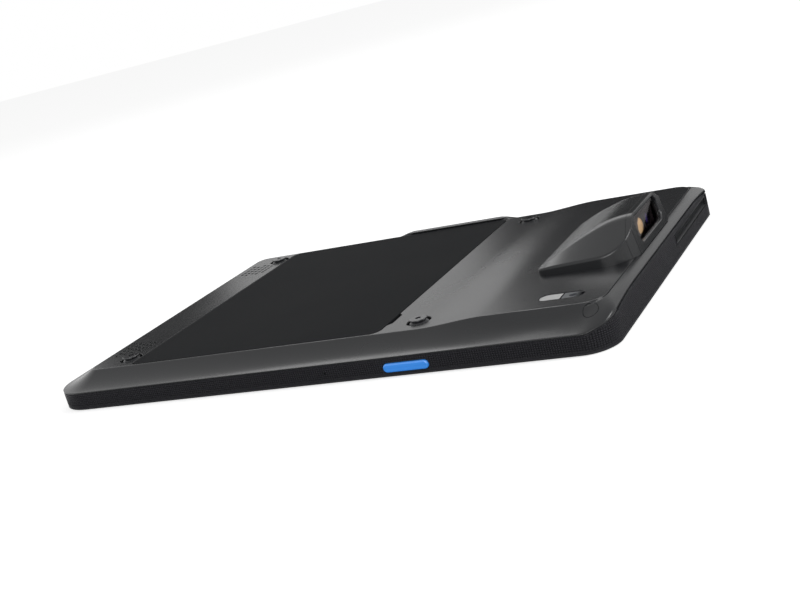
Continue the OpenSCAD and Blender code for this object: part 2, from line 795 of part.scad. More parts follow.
// Rear moulding with the battery bay's walls and the wells for the studs
module rear_housing() {
    wall_x0 = cover_x0 - cover_gap;
    wall_x1 = cover_x1 + cover_gap;
    wall_y = cover_y + cover_gap;
    inner = rear_h - rear_wall;
    inner_top = scanner_h - rear_wall;
    color("#34363a") difference() {
        union() {
            difference() {
                housing_form();
                under_parting();
                rotate([90, 0, 0])
                    linear_extrude(height = 2 * (crease_y - 2.1), center = true)
                    polygon([[crease_x0 + 1.5, -cut], [crease_x0 + 1.5, inner],
                        [ramp_x0 + 4, inner], [ramp_x0 + ramp_l, inner_top],
                        [crease_x1 - 2, inner_top], [crease_x1 - 2, -cut]]);
                block([crease_x0 - 2, -crease_y - 2, -cut],
                    [crease_x1 - 3.2, crease_y + 2, frame_h + 1.7]);
            }
            block([wall_x0 - bay_wall + ledge, -wall_y, floor_z],
                [wall_x1 + bay_wall - ledge, wall_y, case_z1]);
            block([wall_x1 - ledge, -wall_y, inner - 0.6], [wall_x1 + bay_wall, wall_y, inner]);
            key_guard();
            for (x = stud_x, side = [-1, 1])
                translate([x, side * stud_y, well_z - rear_wall])
                    cylinder(r = well_r + 1.4, h = rear_wall + 1);
        }
        block([case_x0 - cover_gap, -case_y - cover_gap, -cut],
            [case_x1 + cover_gap, case_y + cover_gap, ledge_z + cut]);
        translate([0, 0, ledge_z]) linear_extrude(height = rear_h)
            rounded([wall_x0, -wall_y], [wall_x1, wall_y], cover_r + cover_gap);
        translate([0, 0, ledge_z - 0.4]) linear_extrude(height = 1) gasket_outline(0.05);
        block([cover_x1, notch_y - notch_l / 2, rear_h - 1],
            [cover_x1 + 1.5, notch_y + notch_l / 2, rear_h + cut]);
        for (x = stud_x, side = [-1, 1])
            translate([x, side * stud_y, 0]) {
                translate([0, 0, well_z]) cylinder(r = well_r, h = 3 * well_depth);
                cylinder(r = stud_shank_r + 0.2, h = rear_h);
            }
        for (side = [-1, 1]) {
            translate([plug_x, side * plug_y, 0]) {
                cylinder(r = 1, h = rear_h);
                translate([0, 0, plug_seat()]) cylinder(r = 1.9, h = rear_h);
                translate([0, 0, plug_seat() + plug_t]) cylinder(r = plug_r + fit, h = rear_h);
            }
            speaker_holes(side);
        }
        translate([0, 0, scanner_h - camera_depth]) linear_extrude(height = 2)
            rounded([camera_x - camera_l / 2, camera_y - camera_w / 2],
                [camera_x + camera_l / 2, camera_y + camera_w / 2], camera_w / 2 - 0.01);
        translate([camera_x + 4.4, camera_y, inner]) cylinder(r = 2.9, h = 4);
        translate([camera_x - 4.4, camera_y, inner]) cylinder(r = 2.4, h = 4);
        translate([camera_x - 15, camera_y, inner]) cylinder(r = mic_hole_r, h = 6);
        block([opening_x0, hood_y - opening_w / 2, inner], [opening_x1, hood_y + opening_w / 2, 30]);
        for (side = [-1, 1])
            translate([hood_boss_x, hood_y + side * hood_boss_y, inner]) cylinder(r = 1, h = 6);
    }
}

// Staggered rows of round holes over one speaker
module speaker_holes(side) {
    mid = (speaker_rows - 1) / 2;
    for (i = [0:speaker_rows - 1], j = [0:speaker_rows - 1])
        translate([speaker_x + (i - mid) * speaker_step,
            side * (speaker_y + hole_shift + (j - mid - (i % 2) / 2) * speaker_step),
            well_z - rear_wall])
            cylinder(r = speaker_hole_r, h = 3 * rear_wall);
}

// Screws at the scanner end's corners, and the plugs that hide them
module housing_screws() {
    for (side = [-1, 1])
        color("#a7abb0") translate([plug_x, side * plug_y, 0]) difference() {
            union() {
                translate([0, 0, plug_seat()]) cylinder(r = 1.7, h = plug_t);
                translate([0, 0, floor_z + 0.3]) cylinder(r = 0.8, h = plug_seat() - floor_z);
            }
            translate([0, 0, plug_seat() + 0.3]) cylinder(r = 0.7, h = 1, $fn = 6);
        }
}

module screw_plugs() {
    color("#2b2d30") intersection() {
        housing_form();
        for (side = [-1, 1])
            translate([plug_x, side * plug_y, plug_seat() + plug_t])
                cylinder(r = plug_r, h = rear_h);
    }
}

// Studs for a hand strap: skirt, neck and head turned as one with the screw
module strap_studs() {
    for (x = stud_x, side = [-1, 1])
        color("#3d3f43") translate([x, side * stud_y, 0]) difference() {
            union() {
                translate([0, 0, stud_foot]) cylinder(r = stud_shank_r, h = well_z - stud_foot);
                translate([0, 0, well_z]) cylinder(r = stud_skirt_r, h = stud_skirt_t);
                translate([0, 0, well_z]) cylinder(r = stud_neck_r, h = stud_top - well_z);
                translate([0, 0, stud_top - stud_head_t])
                    cylinder(r = stud_head_r, h = stud_head_t);
            }
            translate([0, 0, stud_top - stud_hex_depth]) cylinder(r = stud_hex_r, h = 2, $fn = 6);
        }
}

// Ring of the seal on the bay's ledge
module gasket_outline(grow) {
    difference() {
        rounded([cover_x0 + 0.5 - grow, -cover_y + 0.5 - grow],
            [cover_x1 - 0.5 + grow, cover_y - 0.5 + grow], 2);
        rounded([cover_x0 + 1.3 + grow, -cover_y + 1.3 + grow],
            [cover_x1 - 1.3 - grow, cover_y - 1.3 - grow], 1.4);
    }
}

module battery_gasket() {
    color("#101113") translate([0, 0, ledge_z - 0.4]) linear_extrude(height = 0.4)
        gasket_outline(0);
}

module battery_cover() {
    color("#17181a") translate([0, 0, case_z1]) linear_extrude(height = cover_t)
        rounded([cover_x0, -cover_y], [cover_x1, cover_y], cover_r);
}

module battery_case() {
    color("#1f2023") difference() {
        block([case_x0, -case_y, case_z0], [case_x1, case_y, case_z1]);
        block([case_x0 + case_wall, case_wall - case_y, case_z0 + case_wall],
            [case_x1 - case_wall, case_y - case_wall, case_z1 + cut]);
        block([case_x1 - 10.6, -14.2, case_z0 - cut], [case_x1 - 7.4, 14.2, case_z0 + 0.4]);
    }
}

// Two flat pouches side by side
module battery_cells() {
    margin = case_wall + 0.5;
    l = (case_x1 - case_x0 - 12 - 2 * margin - 1) / 2;
    for (i = [0, 1])
        color("#b9bcbe") block(
            [case_x0 + margin + i * (l + 1), margin - case_y, case_z0 + margin],
            [case_x0 + margin + i * (l + 1) + l, case_y - margin, case_z1 - 0.3]);
}

module battery_board() {
    y = case_y - 14.6;
    color("#1f4d33") block([case_x1 - 11.5, -y, case_z0 + case_wall],
        [case_x1 - case_wall - 1, y, case_z0 + case_wall + 0.8]);
}

module battery_contacts() {
    color("#d8b25a") for (i = [-3:3])
        block([case_x1 - 10.4, i * 4 - 1, case_z0 + 0.05], [case_x1 - 7.6, i * 4 + 1, case_z0 + 0.4]);
}

module camera_window() {
    z = scanner_h - camera_depth;
    g = 0.15;
    color("#202226") translate([0, 0, z]) linear_extrude(height = camera_depth - 0.3)
        rounded([camera_x - camera_l / 2 + g, camera_y - camera_w / 2 + g],
            [camera_x + camera_l / 2 - g, camera_y + camera_w / 2 - g], camera_w / 2 - g - 0.01);
}

module camera_module() {
    top = scanner_h - camera_depth;
    inner = scanner_h - rear_wall;
    color("#0f1012") translate([camera_x + 4.4, camera_y, 0]) {
        translate([-4.2, -4.2, inner - 5]) cube([8.4, 8.4, 4.9]);
        translate([0, 0, inner - 0.2]) cylinder(r = 2.7, h = top - inner + 0.1);
    }
}

module flash_led() {
    top = scanner_h - camera_depth;
    color("#f2f1ea") translate([camera_x - 4.4, camera_y, 0]) {
        translate([-1.6, -1.6, top - 1.4]) cube([3.2, 3.2, 0.8]);
        translate([0, 0, top - 0.7]) cylinder(r = 2.2, h = 0.6);
    }
}

// Wedge-shaped hood over the scan engine, open at its foot and its front
module scanner_hood() {
    color("#303236") difference() {
        hood_form(0, scanner_h);
        hood_form(hood_wall, scanner_h - cut);
        ahead_of_face(bezel_t);
    }
    for (side = [-1, 1])
        color("#303236") difference() {
            translate([hood_boss_x, hood_y + side * hood_boss_y, scanner_h])
                cylinder(r = 2.1, h = hood_top(hood_boss_x) - scanner_h - hood_wall / 2);
            translate([hood_boss_x, hood_y + side * hood_boss_y, scanner_h - cut])
                cylinder(r = 0.8 + fit, h = 4);
        }
}

module hood_screws() {
    inner = scanner_h - rear_wall;
    for (side = [-1, 1])
        color("#b9bcc0") translate([hood_boss_x, hood_y + side * hood_boss_y, 0]) {
            translate([0, 0, inner - 0.9]) cylinder(r = 1.6, h = 0.9);
            translate([0, 0, inner]) cylinder(r = 0.8, h = rear_wall + 2.6);
        }
}

// Front piece of the hood, with the window's opening and the seat behind it
module scanner_bezel() {
    color("#2c2e32") difference() {
        intersection() {
            hood_form(0, scanner_h);
            ahead_of_face(bezel_t);
        }
        ahead_of_face(0);
        window_cut(0, -cut, bezel_t + cut);
        window_cut(0.8, 0.9, bezel_t + cut);
    }
}

module scanner_window() {
    color("#5a3036") window_cut(0.7, 0.9, 2);
}

// Sheet under the engine that bridges the opening in the housing
module engine_bracket() {
    color("#a9acb0") block([engine_x1 - engine_l, hood_y - opening_w / 2 - 2.5, scanner_h],
        [engine_x1, hood_y + opening_w / 2 + 2.5, engine_z0]);
}

module lens_bore(dy, dz, r, l) {
    translate([engine_x1 - lens_seat, hood_y + dy, lens_z + dz]) rotate([0, 90, 0])
        cylinder(r = r, h = l);
}

module scan_engine() {
    color("#24262a") difference() {
        block([engine_x1 - engine_l, hood_y - engine_w / 2, engine_z0],
            [engine_x1, hood_y + engine_w / 2, engine_z0 + engine_h]);
        lens_bore(lens_pitch, 0, lens_r + 0.1, 4);
        lens_bore(-lens_pitch, 0, lamp_lens_r + 0.1, 4);
        lens_bore(0, -3.6, 1.1, 4);
    }
}

module imager_lens() {
    color("#39306e") lens_bore(lens_pitch, 0, lens_r, lens_seat - 0.2);
}

module illumination_lens() {
    color("#e8b84a") lens_bore(-lens_pitch, 0, lamp_lens_r, lens_seat - 0.2);
}

module aimer_lens() {
    color("#7a2d30") lens_bore(0, -3.6, 1, lens_seat - 0.2);
}

// Flat cable from the back of the engine down to the board
module scanner_flex() {
    x = engine_x1 - engine_l;
    z = board_z + board_t;
    color("#b5722a") {
        block([x - flex_t, hood_y - 5, z], [x, hood_y + 5, engine_z0 + 5]);
        block([board_x1 - 9, hood_y - 5, z], [x, hood_y + 5, z + flex_t]);
    }
}

front_glass();
display_panel();
display_flex();
side_frame();
mid_frame();
front_camera();
main_board();
board_shields();
heat_spreader();
board_screws();
battery_connector();
vibration_motor();
antennas();
nfc_coil();
microphones();
speakers();
speaker_meshes();
scan_button();
scan_switch();
power_button();
power_switch();
volume_key();
volume_switches();
usb_receptacle();
headphone_jack();
card_sockets();
port_board();
port_door();
port_door_pin();
rear_housing();
housing_screws();
screw_plugs();
strap_studs();
battery_gasket();
battery_cover();
battery_case();
battery_cells();
battery_board();
battery_contacts();
camera_window();
camera_module();
flash_led();
scanner_hood();
hood_screws();
scanner_bezel();
scanner_window();
engine_bracket();
scan_engine();
imager_lens();
illumination_lens();
aimer_lens();
scanner_flex();
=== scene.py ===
import math

import bpy
from mathutils import Matrix, Vector


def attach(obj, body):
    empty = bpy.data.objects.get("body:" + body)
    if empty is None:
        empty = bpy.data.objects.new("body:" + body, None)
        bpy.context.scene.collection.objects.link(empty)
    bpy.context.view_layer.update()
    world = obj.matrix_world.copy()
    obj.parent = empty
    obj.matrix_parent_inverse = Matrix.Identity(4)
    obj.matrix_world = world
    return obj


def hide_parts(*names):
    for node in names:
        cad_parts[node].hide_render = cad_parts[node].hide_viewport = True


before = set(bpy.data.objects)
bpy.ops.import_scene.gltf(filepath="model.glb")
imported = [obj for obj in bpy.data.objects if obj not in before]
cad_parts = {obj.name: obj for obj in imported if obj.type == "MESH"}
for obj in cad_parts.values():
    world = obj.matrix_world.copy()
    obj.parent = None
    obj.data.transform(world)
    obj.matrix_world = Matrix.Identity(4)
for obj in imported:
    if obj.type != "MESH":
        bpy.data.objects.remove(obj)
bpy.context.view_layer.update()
scene = bpy.context.scene
scene.view_settings.view_transform = "Standard"

# The camera stands low over the tablet's near long side, towards the scanner end, with the
# lens that the straight edges in the photograph give.
bpy.ops.object.camera_add(
    location=(0.27468, -0.49269, 0.14919),
    rotation=[math.radians(a) for a in (74.928, 15.245, 24.654)])
camera = bpy.context.object
camera.name = "camera"
camera.data.lens = 57.95
camera.data.sensor_width = 36
camera.data.clip_start = 0.01
scene.camera = camera


# The table is a wide sheet of matt white board. It carries the tablet, which lies on its
# screen, and takes a soft shadow.
def linear(hex_colour):
    """The linear colour of an sRGB hex value."""
    parts = [int(hex_colour[i:i + 2], 16) / 255 for i in (1, 3, 5)]
    return [p / 12.92 if p <= 0.04045 else ((p + 0.055) / 1.055) ** 2.4 for p in parts] + [1]


def fill(node, sockets):
    """Fills or links a node's input sockets, where a node stands for its first output."""
    for name, value in sockets.items():
        if isinstance(value, bpy.types.Node):
            value = value.outputs[0]
        if isinstance(value, bpy.types.NodeSocket):
            node.id_data.links.new(value, node.inputs[name])
        else:
            node.inputs[name].default_value = value


def add(tree, kind, sockets={}, **settings):
    """Adds a shader node, with its settings and links."""
    made = tree.nodes.new("ShaderNode" + kind)
    for name, value in settings.items():
        setattr(made, name, value)
    fill(made, sockets)
    return made


def seen_or_mirrored(tree):
    """1 where a ray comes from the camera, a mirror or a glass, and 0 where it lights."""
    rays = add(tree, "LightPath")
    seen = add(tree, "Math", {0: rays.outputs["Is Camera Ray"],
                              1: rays.outputs["Is Glossy Ray"]}, operation="MAXIMUM")
    return add(tree, "Math", {0: seen, 1: rays.outputs["Is Transmission Ray"]},
               operation="MAXIMUM")


bpy.ops.mesh.primitive_plane_add(size=8, location=(0, 0, -0.0001))
table = bpy.context.object
table.name = "table"
white_board = bpy.data.materials.new("matt_white_board")
white_board.use_nodes = True
tree = white_board.node_tree
tree.nodes.clear()
paper = add(tree, "BsdfDiffuse", {"Color": linear("#E4E4E4")})
glow = add(tree, "Emission", {"Color": linear("#FFFFFF"), "Strength": 0.62})
lit = add(tree, "AddShader", {0: paper, 1: glow})
mixed = add(tree, "MixShader", {0: seen_or_mirrored(tree), 1: paper, 2: lit})
add(tree, "OutputMaterial", {"Surface": mixed})
table.data.materials.append(white_board)

# The room round it is white where it is seen or mirrored, and a plain soft light otherwise.
world = bpy.data.worlds.new("studio")
scene.world = world
world.use_nodes = True
tree = world.node_tree
tree.nodes.clear()
strength = add(tree, "MapRange", {"Value": seen_or_mirrored(tree), "To Min": 0.4,
                                  "To Max": 1.0})
sky = add(tree, "Background", {"Color": linear("#FFFFFF"), "Strength": strength})
add(tree, "OutputWorld", {"Surface": sky})


# Three soft boxes light it: a broad one low over the near side, a narrow one high over the
# far side, and a square one over the scanner end.
def soft_box(name, azimuth, elevation, distance, size, power):
    """A rectangular lamp in a direction, in degrees, that faces the tablet."""
    a, e = math.radians(azimuth), math.radians(elevation)
    toward = Vector((math.cos(a) * math.cos(e), math.sin(a) * math.cos(e), math.sin(e)))
    bpy.ops.object.light_add(type="AREA", location=toward * distance)
    lamp = bpy.context.object
    lamp.name = name
    lamp.data.shape = "RECTANGLE"
    lamp.data.size, lamp.data.size_y = size
    lamp.data.energy = power
    lamp.rotation_euler = toward.to_track_quat("Z", "Y").to_euler()


soft_box("near_box", -75, 20, 1.8, (1.1, 0.6), 11)
soft_box("high_box", 122, 41, 1.7, (0.8, 0.45), 2.6)
soft_box("end_box", 4, 27, 1.6, (0.6, 0.6), 10)


# Black cloth flags keep the white room out of mirrored views, except for one white slit that
# gives the plateau its sheen. Cards do so on the table: a black one under the tablet, and a
# black and a grey one where the scanner's window and hood mirror it.
def cloth(name, colour):
    """Flat matt cloth of one grey."""
    made = bpy.data.materials.new(name)
    made.use_nodes = True
    tree = made.node_tree
    tree.nodes.clear()
    plain = add(tree, "BsdfDiffuse", {"Color": linear(colour)})
    add(tree, "OutputMaterial", {"Surface": plain})
    return made


black_cloth, grey_cloth = cloth("black_cloth", "#050505"), cloth("grey_cloth", "#A0A0A0")


def flag(name, place, size, turn, fabric=black_cloth):
    """A sheet that only mirrored views show."""
    bpy.ops.mesh.primitive_plane_add(size=1, location=place,
                                     rotation=[math.radians(a) for a in turn])
    sheet = bpy.context.object
    sheet.name = name
    sheet.scale = (size[0], size[1], 1)
    sheet.visible_camera = False
    sheet.visible_diffuse = False
    sheet.visible_shadow = False
    sheet.data.materials.append(fabric)


flag("right_flag", (-0.47, 2.0, 0.49), (0.76, 0.98), (90, 0, 0))
flag("low_flag", (-1.2, 1.9, 0.09), (0.9, 0.2), (90, 0, 0))
flag("left_flag", (-1.52, 1.69, 0.5), (0.34, 1.1), (90, 0, 40))
flag("table_card", (0.02, -0.05, -0.00005), (0.32, 0.30), (0, 0, 0))
flag("window_card", (0.0566, 0.2115, -0.00004), (0.28, 0.26), (0, 0, -13))
flag("grey_card", (0.30, 0.155, -0.00003), (0.22, 0.30), (0, 0, -13), grey_cloth)


# The tablet's own front is a sheet of cover glass, chemically toughened and printed black on
# its inner face round the display. Its ground edge sits in the side frame.
def finish(name):
    """A new finish, with its node tree, the place on the piece and its shader."""
    made = bpy.data.materials.new(name)
    made.use_nodes = True
    tree = made.node_tree
    return made, tree, add(tree, "TexCoord").outputs["Object"], tree.nodes["Principled BSDF"]


def dress(material, *nodes):
    """Puts a finish on CAD nodes whose shapes are right."""
    for node in nodes:
        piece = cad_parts[node]
        piece.data.materials.clear()
        piece.data.materials.append(material)


# Polished glass over black print: the display behind it is a shade greyer than its border.
screen_half_l, screen_half_w = 0.1138, 0.0738
cover_glass, tree, where, surface = finish("polished_cover_glass")
across = add(tree, "VectorMath", {0: where}, operation="ABSOLUTE")
apart = add(tree, "SeparateXYZ", {0: across})
in_length = add(tree, "Math", {0: apart.outputs["X"], 1: screen_half_l},
                operation="LESS_THAN")
in_width = add(tree, "Math", {0: apart.outputs["Y"], 1: screen_half_w},
               operation="LESS_THAN")
shows = add(tree, "Math", {0: in_length, 1: in_width}, operation="MULTIPLY")
dust = add(tree, "TexNoise", {"Vector": where, "Scale": 900.0, "Detail": 2.0})
screen = add(tree, "MixRGB", {"Fac": shows, 1: linear("#060607"), 2: linear("#121418")})
film_and_painted_light = add(tree, "MapRange", {"Value": dust, "To Min": 0.03, "To Max": 0.07})
fill(surface, {"Base Color": screen, "Roughness": film_and_painted_light, "IOR": 1.51})
dress(cover_glass, "front_glass")

# The display panel is a glass and film sandwich in a folded steel tray. Its flat cable is
# copper between two films of amber polyimide, which run up to the board.
# Matt grey film with the faint horizontal brushing of its coating.
panel_film, tree, where, surface = finish("coated_panel_film")
drawn = add(tree, "Mapping", {"Vector": where, "Scale": (40, 1500, 1500)})
lines = add(tree, "TexNoise", {"Vector": drawn, "Scale": 1.0, "Detail": 2.0})
tone = add(tree, "MixRGB", {"Fac": lines, 1: linear("#2A2C30"), 2: linear("#3C3F44")})
fill(surface, {"Base Color": tone, "Roughness": 0.45, "Metallic": 0.6})
dress(panel_film, "display_panel")

# Polyimide: clear amber, with the copper tracks showing through as 0.5 mm lines.
polyimide, tree, where, surface = finish("polyimide_flat_cable")
tracks = add(tree, "TexWave", {"Vector": where, "Scale": 300.0}, bands_direction="Y")
tone = add(tree, "MixRGB", {"Fac": tracks.outputs["Fac"], 1: linear("#8A4A12"),
                            2: linear("#C9822E")})
fill(surface, {"Base Color": tone, "Roughness": 0.28})
dress(polyimide, "display_flex", "scanner_flex")

# The chassis plate is cast in magnesium alloy and blasted, with its standoffs and stud bosses
# in one piece. The panel lies under it and the boards are screwed on top.
# Blasted casting: a light grey metal, dulled by a fine 0.3 mm grain and cloudy flow marks.
magnesium, tree, where, surface = finish("cast_magnesium")
flow = add(tree, "TexNoise", {"Vector": where, "Scale": 60.0, "Detail": 4.0})
grit = add(tree, "TexNoise", {"Vector": where, "Scale": 3300.0, "Detail": 2.0})
tone = add(tree, "MixRGB", {"Fac": flow, 1: linear("#8B8E91"), 2: linear("#A6A9AC")})
relief = add(tree, "Bump", {"Height": grit, "Strength": 0.35, "Distance": 0.00008})
fill(surface, {"Base Color": tone, "Normal": relief, "Metallic": 0.85, "Roughness": 0.5})
dress(magnesium, "mid_frame")

# The boards are glass-fibre laminate under green solder mask, with a maze of copper tracks
# below it. The tall parts sit under two tinned cans with a graphite sheet on top.
# Solder mask: glossy dark green, with 0.6 mm tracks a little lighter and raised.
solder_mask, tree, where, surface = finish("green_solder_mask")
maze = add(tree, "TexVoronoi", {"Vector": where, "Scale": 420.0}, feature="DISTANCE_TO_EDGE")
track = add(tree, "Math", {0: maze.outputs["Distance"], 1: 0.12}, operation="LESS_THAN")
tone = add(tree, "MixRGB", {"Fac": track, 1: linear("#0F3A26"), 2: linear("#1E5C3B")})
relief = add(tree, "Bump", {"Height": track, "Strength": 0.3, "Distance": 0.00005})
fill(surface, {"Base Color": tone, "Normal": relief, "Roughness": 0.3})
dress(solder_mask, "main_board", "port_board", "battery_board")

# Tinned sheet: bright grey, with 0.15 mm rolling lines along its length.
tin_plate, tree, where, surface = finish("tinned_sheet")
rolled = add(tree, "Mapping", {"Vector": where, "Scale": (80, 6500, 6500)})
lines = add(tree, "TexNoise", {"Vector": rolled, "Scale": 1.0, "Detail": 3.0})
rough = add(tree, "MapRange", {"Value": lines, "To Min": 0.24, "To Max": 0.42})
tone = add(tree, "MixRGB", {"Fac": lines, 1: linear("#B4B7B9"), 2: linear("#CDD0D2")})
fill(surface, {"Roughness": rough, "Base Color": tone, "Metallic": 1.0})
dress(tin_plate, "board_shields", "usb_receptacle", "card_sockets", "engine_bracket",
      "scan_switch", "power_switch", "volume_switches", "microphones", "vibration_motor")

# Graphite: a soft black sheet with a faint silvery rub.
graphite, tree, where, surface = finish("graphite_sheet")
rub = add(tree, "TexNoise", {"Vector": where, "Scale": 120.0, "Detail": 5.0})
tone = add(tree, "MixRGB", {"Fac": rub, 1: linear("#2B2C2E"), 2: linear("#4A4B4E")})
fill(surface, {"Base Color": tone, "Metallic": 0.5, "Roughness": 0.55})
dress(graphite, "heat_spreader")

# The small screws are steel with a bright zinc coat. The contact springs, the aerials and
# the card reader's coil are copper, the contacts with a gold flash.
# Zinc plate: bluish bright steel with a mottled passivation.
zinc_steel, tree, where, surface = finish("zinc_plated_steel")
mottle = add(tree, "TexNoise", {"Vector": where, "Scale": 1500.0, "Detail": 3.0})
tone = add(tree, "MixRGB", {"Fac": mottle, 1: linear("#A3A7AC"), 2: linear("#BFC3C6")})
fill(surface, {"Base Color": tone, "Metallic": 1.0, "Roughness": 0.3})
dress(zinc_steel, "board_screws", "housing_screws", "hood_screws", "port_door_pin")

# Etched copper: warm, with darker clouds where it has begun to tarnish.
copper, tree, where, surface = finish("etched_copper")
tarnish = add(tree, "TexNoise", {"Vector": where, "Scale": 300.0, "Detail": 4.0})
tone = add(tree, "MixRGB", {"Fac": tarnish, 1: linear("#A4663A"), 2: linear("#C98A55")})
fill(surface, {"Base Color": tone, "Metallic": 1.0, "Roughness": 0.35})
dress(copper, "antennas", "nfc_coil")

# Gold flash: a thin smooth yellow coat with fine contact marks.
gold, tree, where, surface = finish("gold_flash")
marks = add(tree, "TexNoise", {"Vector": where, "Scale": 4000.0, "Detail": 2.0})
rough = add(tree, "MapRange", {"Value": marks, "To Min": 0.18, "To Max": 0.34})
tone = add(tree, "MixRGB", {"Fac": marks, 1: linear("#C79B45"), 2: linear("#E0BA66")})
fill(surface, {"Roughness": rough, "Base Color": tone, "Metallic": 1.0})
dress(gold, "battery_contacts", "battery_connector")

# Camera cans, jack and speaker boxes are small mouldings in glass-filled black nylon.
# Glass-filled nylon: soft black with a faint grey fibre bloom.
nylon, tree, where, surface = finish("black_glass_filled_nylon")
fibre = add(tree, "TexNoise", {"Vector": where, "Scale": 2200.0, "Detail": 4.0})
tone = add(tree, "MixRGB", {"Fac": fibre, 1: linear("#131415"), 2: linear("#202122")})
fill(surface, {"Base Color": tone, "Roughness": 0.5})
dress(nylon, "front_camera", "camera_module", "headphone_jack", "speakers", "scan_engine")

# Acoustic mesh: black threads woven square, about 0.5 mm from one to the next.
mesh_cloth, tree, where, surface = finish("black_acoustic_mesh")
warp = add(tree, "TexWave", {"Vector": where, "Scale": 640.0}, bands_direction="X")
weft = add(tree, "TexWave", {"Vector": where, "Scale": 640.0}, bands_direction="Y")
woven = add(tree, "Math", {0: warp.outputs["Fac"], 1: weft.outputs["Fac"]},
            operation="MULTIPLY")
tone = add(tree, "MixRGB", {"Fac": woven, 1: linear("#060606"), 2: linear("#242425")})
fill(surface, {"Base Color": tone, "Roughness": 0.8})
dress(mesh_cloth, "speaker_meshes")


# The side frame is moulded in black glass-filled plastic round the chassis. Its outside is
# knurled for grip: small flat-topped studs 1 mm apart, over a smooth lip round the glass.
def arc(cx, cy, r, start, stop, count):
    """Points along an arc, in degrees, without its last point."""
    turn = [math.radians(start + (stop - start) * i / count) for i in range(count)]
    return [(cx + r * math.cos(a), cy + r * math.sin(a)) for a in turn]


def row(a, b, count):
    """Points along a straight line, without its last point."""
    return [(a[0] + (b[0] - a[0]) * i / count, a[1] + (b[1] - a[1]) * i / count)
            for i in range(count)]


# Half the body's length and width, the radii of its corners, and where these begin.
end_x, side_y = 130, 89
top_r, bottom_r = 12.5, 18
top_x, top_y = end_x - top_r, side_y - top_r
bottom_x, bottom_y = bottom_r - end_x, side_y - bottom_r


def body_outline(inset):
    """The tablet's outline from above, anticlockwise, a point for each knurl."""
    side, end = side_y - inset, end_x - inset
    top, bottom = top_r - inset, bottom_r - inset
    return (row((bottom_x, -side), (top_x, -side), 230) + arc(top_x, -top_y, top, -90, 0, 18)
            + row((end, -top_y), (end, top_y), 153) + arc(top_x, top_y, top, 0, 90, 18)
            + row((top_x, side), (bottom_x, side), 230)
            + arc(bottom_x, bottom_y, bottom, 90, 180, 28)
            + row((-end, bottom_y), (-end, -bottom_y), 142)
            + arc(bottom_x, -bottom_y, bottom, 180, 270, 28))


def parting(x, y):
    """Height at which the housing meets the frame, which climbs round the scanner end."""
    frame_h, frame_rise, climb_from, climb_l = 7.8, 5.5, 31, 50
    s = min(1, max(0, (x - abs(y) - climb_from) / climb_l))
    return frame_h + frame_rise * math.sin(math.radians(90 * s))


def pick(piece):
    """Makes a piece the only one that the next tool works on."""
    bpy.ops.object.select_all(action="DESELECT")
    piece.select_set(True)
    bpy.context.view_layer.objects.active = piece


def close_up():
    """Goes back to object mode with nothing selected."""
    bpy.ops.mesh.select_all(action="DESELECT")
    bpy.ops.object.mode_set(mode="OBJECT")


def tidy(piece):
    """Merges doubled points, then turns every face outwards."""
    pick(piece)
    bpy.ops.object.mode_set(mode="EDIT")
    bpy.ops.mesh.select_mode(type="VERT")
    bpy.ops.mesh.select_all(action="SELECT")
    bpy.ops.mesh.remove_doubles(threshold=0.001)
    bpy.ops.mesh.normals_make_consistent(inside=False)
    close_up()


def skin(name, loops):
    """A surface over closed loops of points, from a grid bent round."""
    bpy.ops.object.select_all(action="DESELECT")
    bpy.ops.mesh.primitive_grid_add(x_subdivisions=len(loops[0]),
                                    y_subdivisions=len(loops) - 1)
    piece = bpy.context.object
    piece.name = name
    points = [p for loop in loops for p in loop + loop[:1]]
    for vertex, point in zip(piece.data.vertices, points):
        vertex.co = point
    tidy(piece)
    return piece


def modify(piece, kind, **settings):
    """Adds a modifier and applies it."""
    pick(piece)
    made = piece.modifiers.new(kind.lower(), kind)
    for name, value in settings.items():
        setattr(made, name, value)
    bpy.ops.object.modifier_apply(modifier=made.name)


def join(pieces):
    """Several meshes as one."""
    pick(pieces[0])
    for piece in pieces:
        piece.select_set(True)
    bpy.ops.object.join()
    return pieces[0]


def cut(piece, tools, operation="DIFFERENCE"):
    """Cuts a piece with tools that don't touch each other, and clears them away."""
    tool = join(tools)
    modify(piece, "BOOLEAN", object=tool, operation=operation, solver="EXACT")
    bpy.data.objects.remove(tool)


def box(name, low, high):
    """A plain block between two corners, as the start of a piece or of a tool."""
    bpy.ops.object.select_all(action="DESELECT")
    bpy.ops.mesh.primitive_cube_add(size=1, location=[(a + b) / 2 for a, b in zip(low, high)])
    piece = bpy.context.object
    piece.name = name
    piece.scale = [b - a for a, b in zip(low, high)]
    bpy.ops.object.transform_apply(location=True, rotation=True, scale=True)
    return piece


def open_up(piece, kind, test):
    """Opens a piece in edit mode with those corners, edges or faces that pass a test."""
    pick(piece)
    bpy.ops.object.mode_set(mode="EDIT")
    bpy.ops.mesh.select_mode(type=kind)
    bpy.ops.mesh.select_all(action="DESELECT")
    bpy.ops.object.mode_set(mode="OBJECT")
    mesh = piece.data
    for part in {"VERT": mesh.vertices, "EDGE": mesh.edges, "FACE": mesh.polygons}[kind]:
        part.select = bool(test(part))
    bpy.ops.object.mode_set(mode="EDIT")


def bevel(piece, radius, steps, test):
    """Rounds the edges whose two ends pass a test."""
    points = [v.co.copy() for v in piece.data.vertices]
    open_up(piece, "EDGE", lambda edge: test(*(points[i] for i in edge.vertices)))
    bpy.ops.mesh.bevel(offset=radius, segments=steps, affect="EDGES")
    close_up()


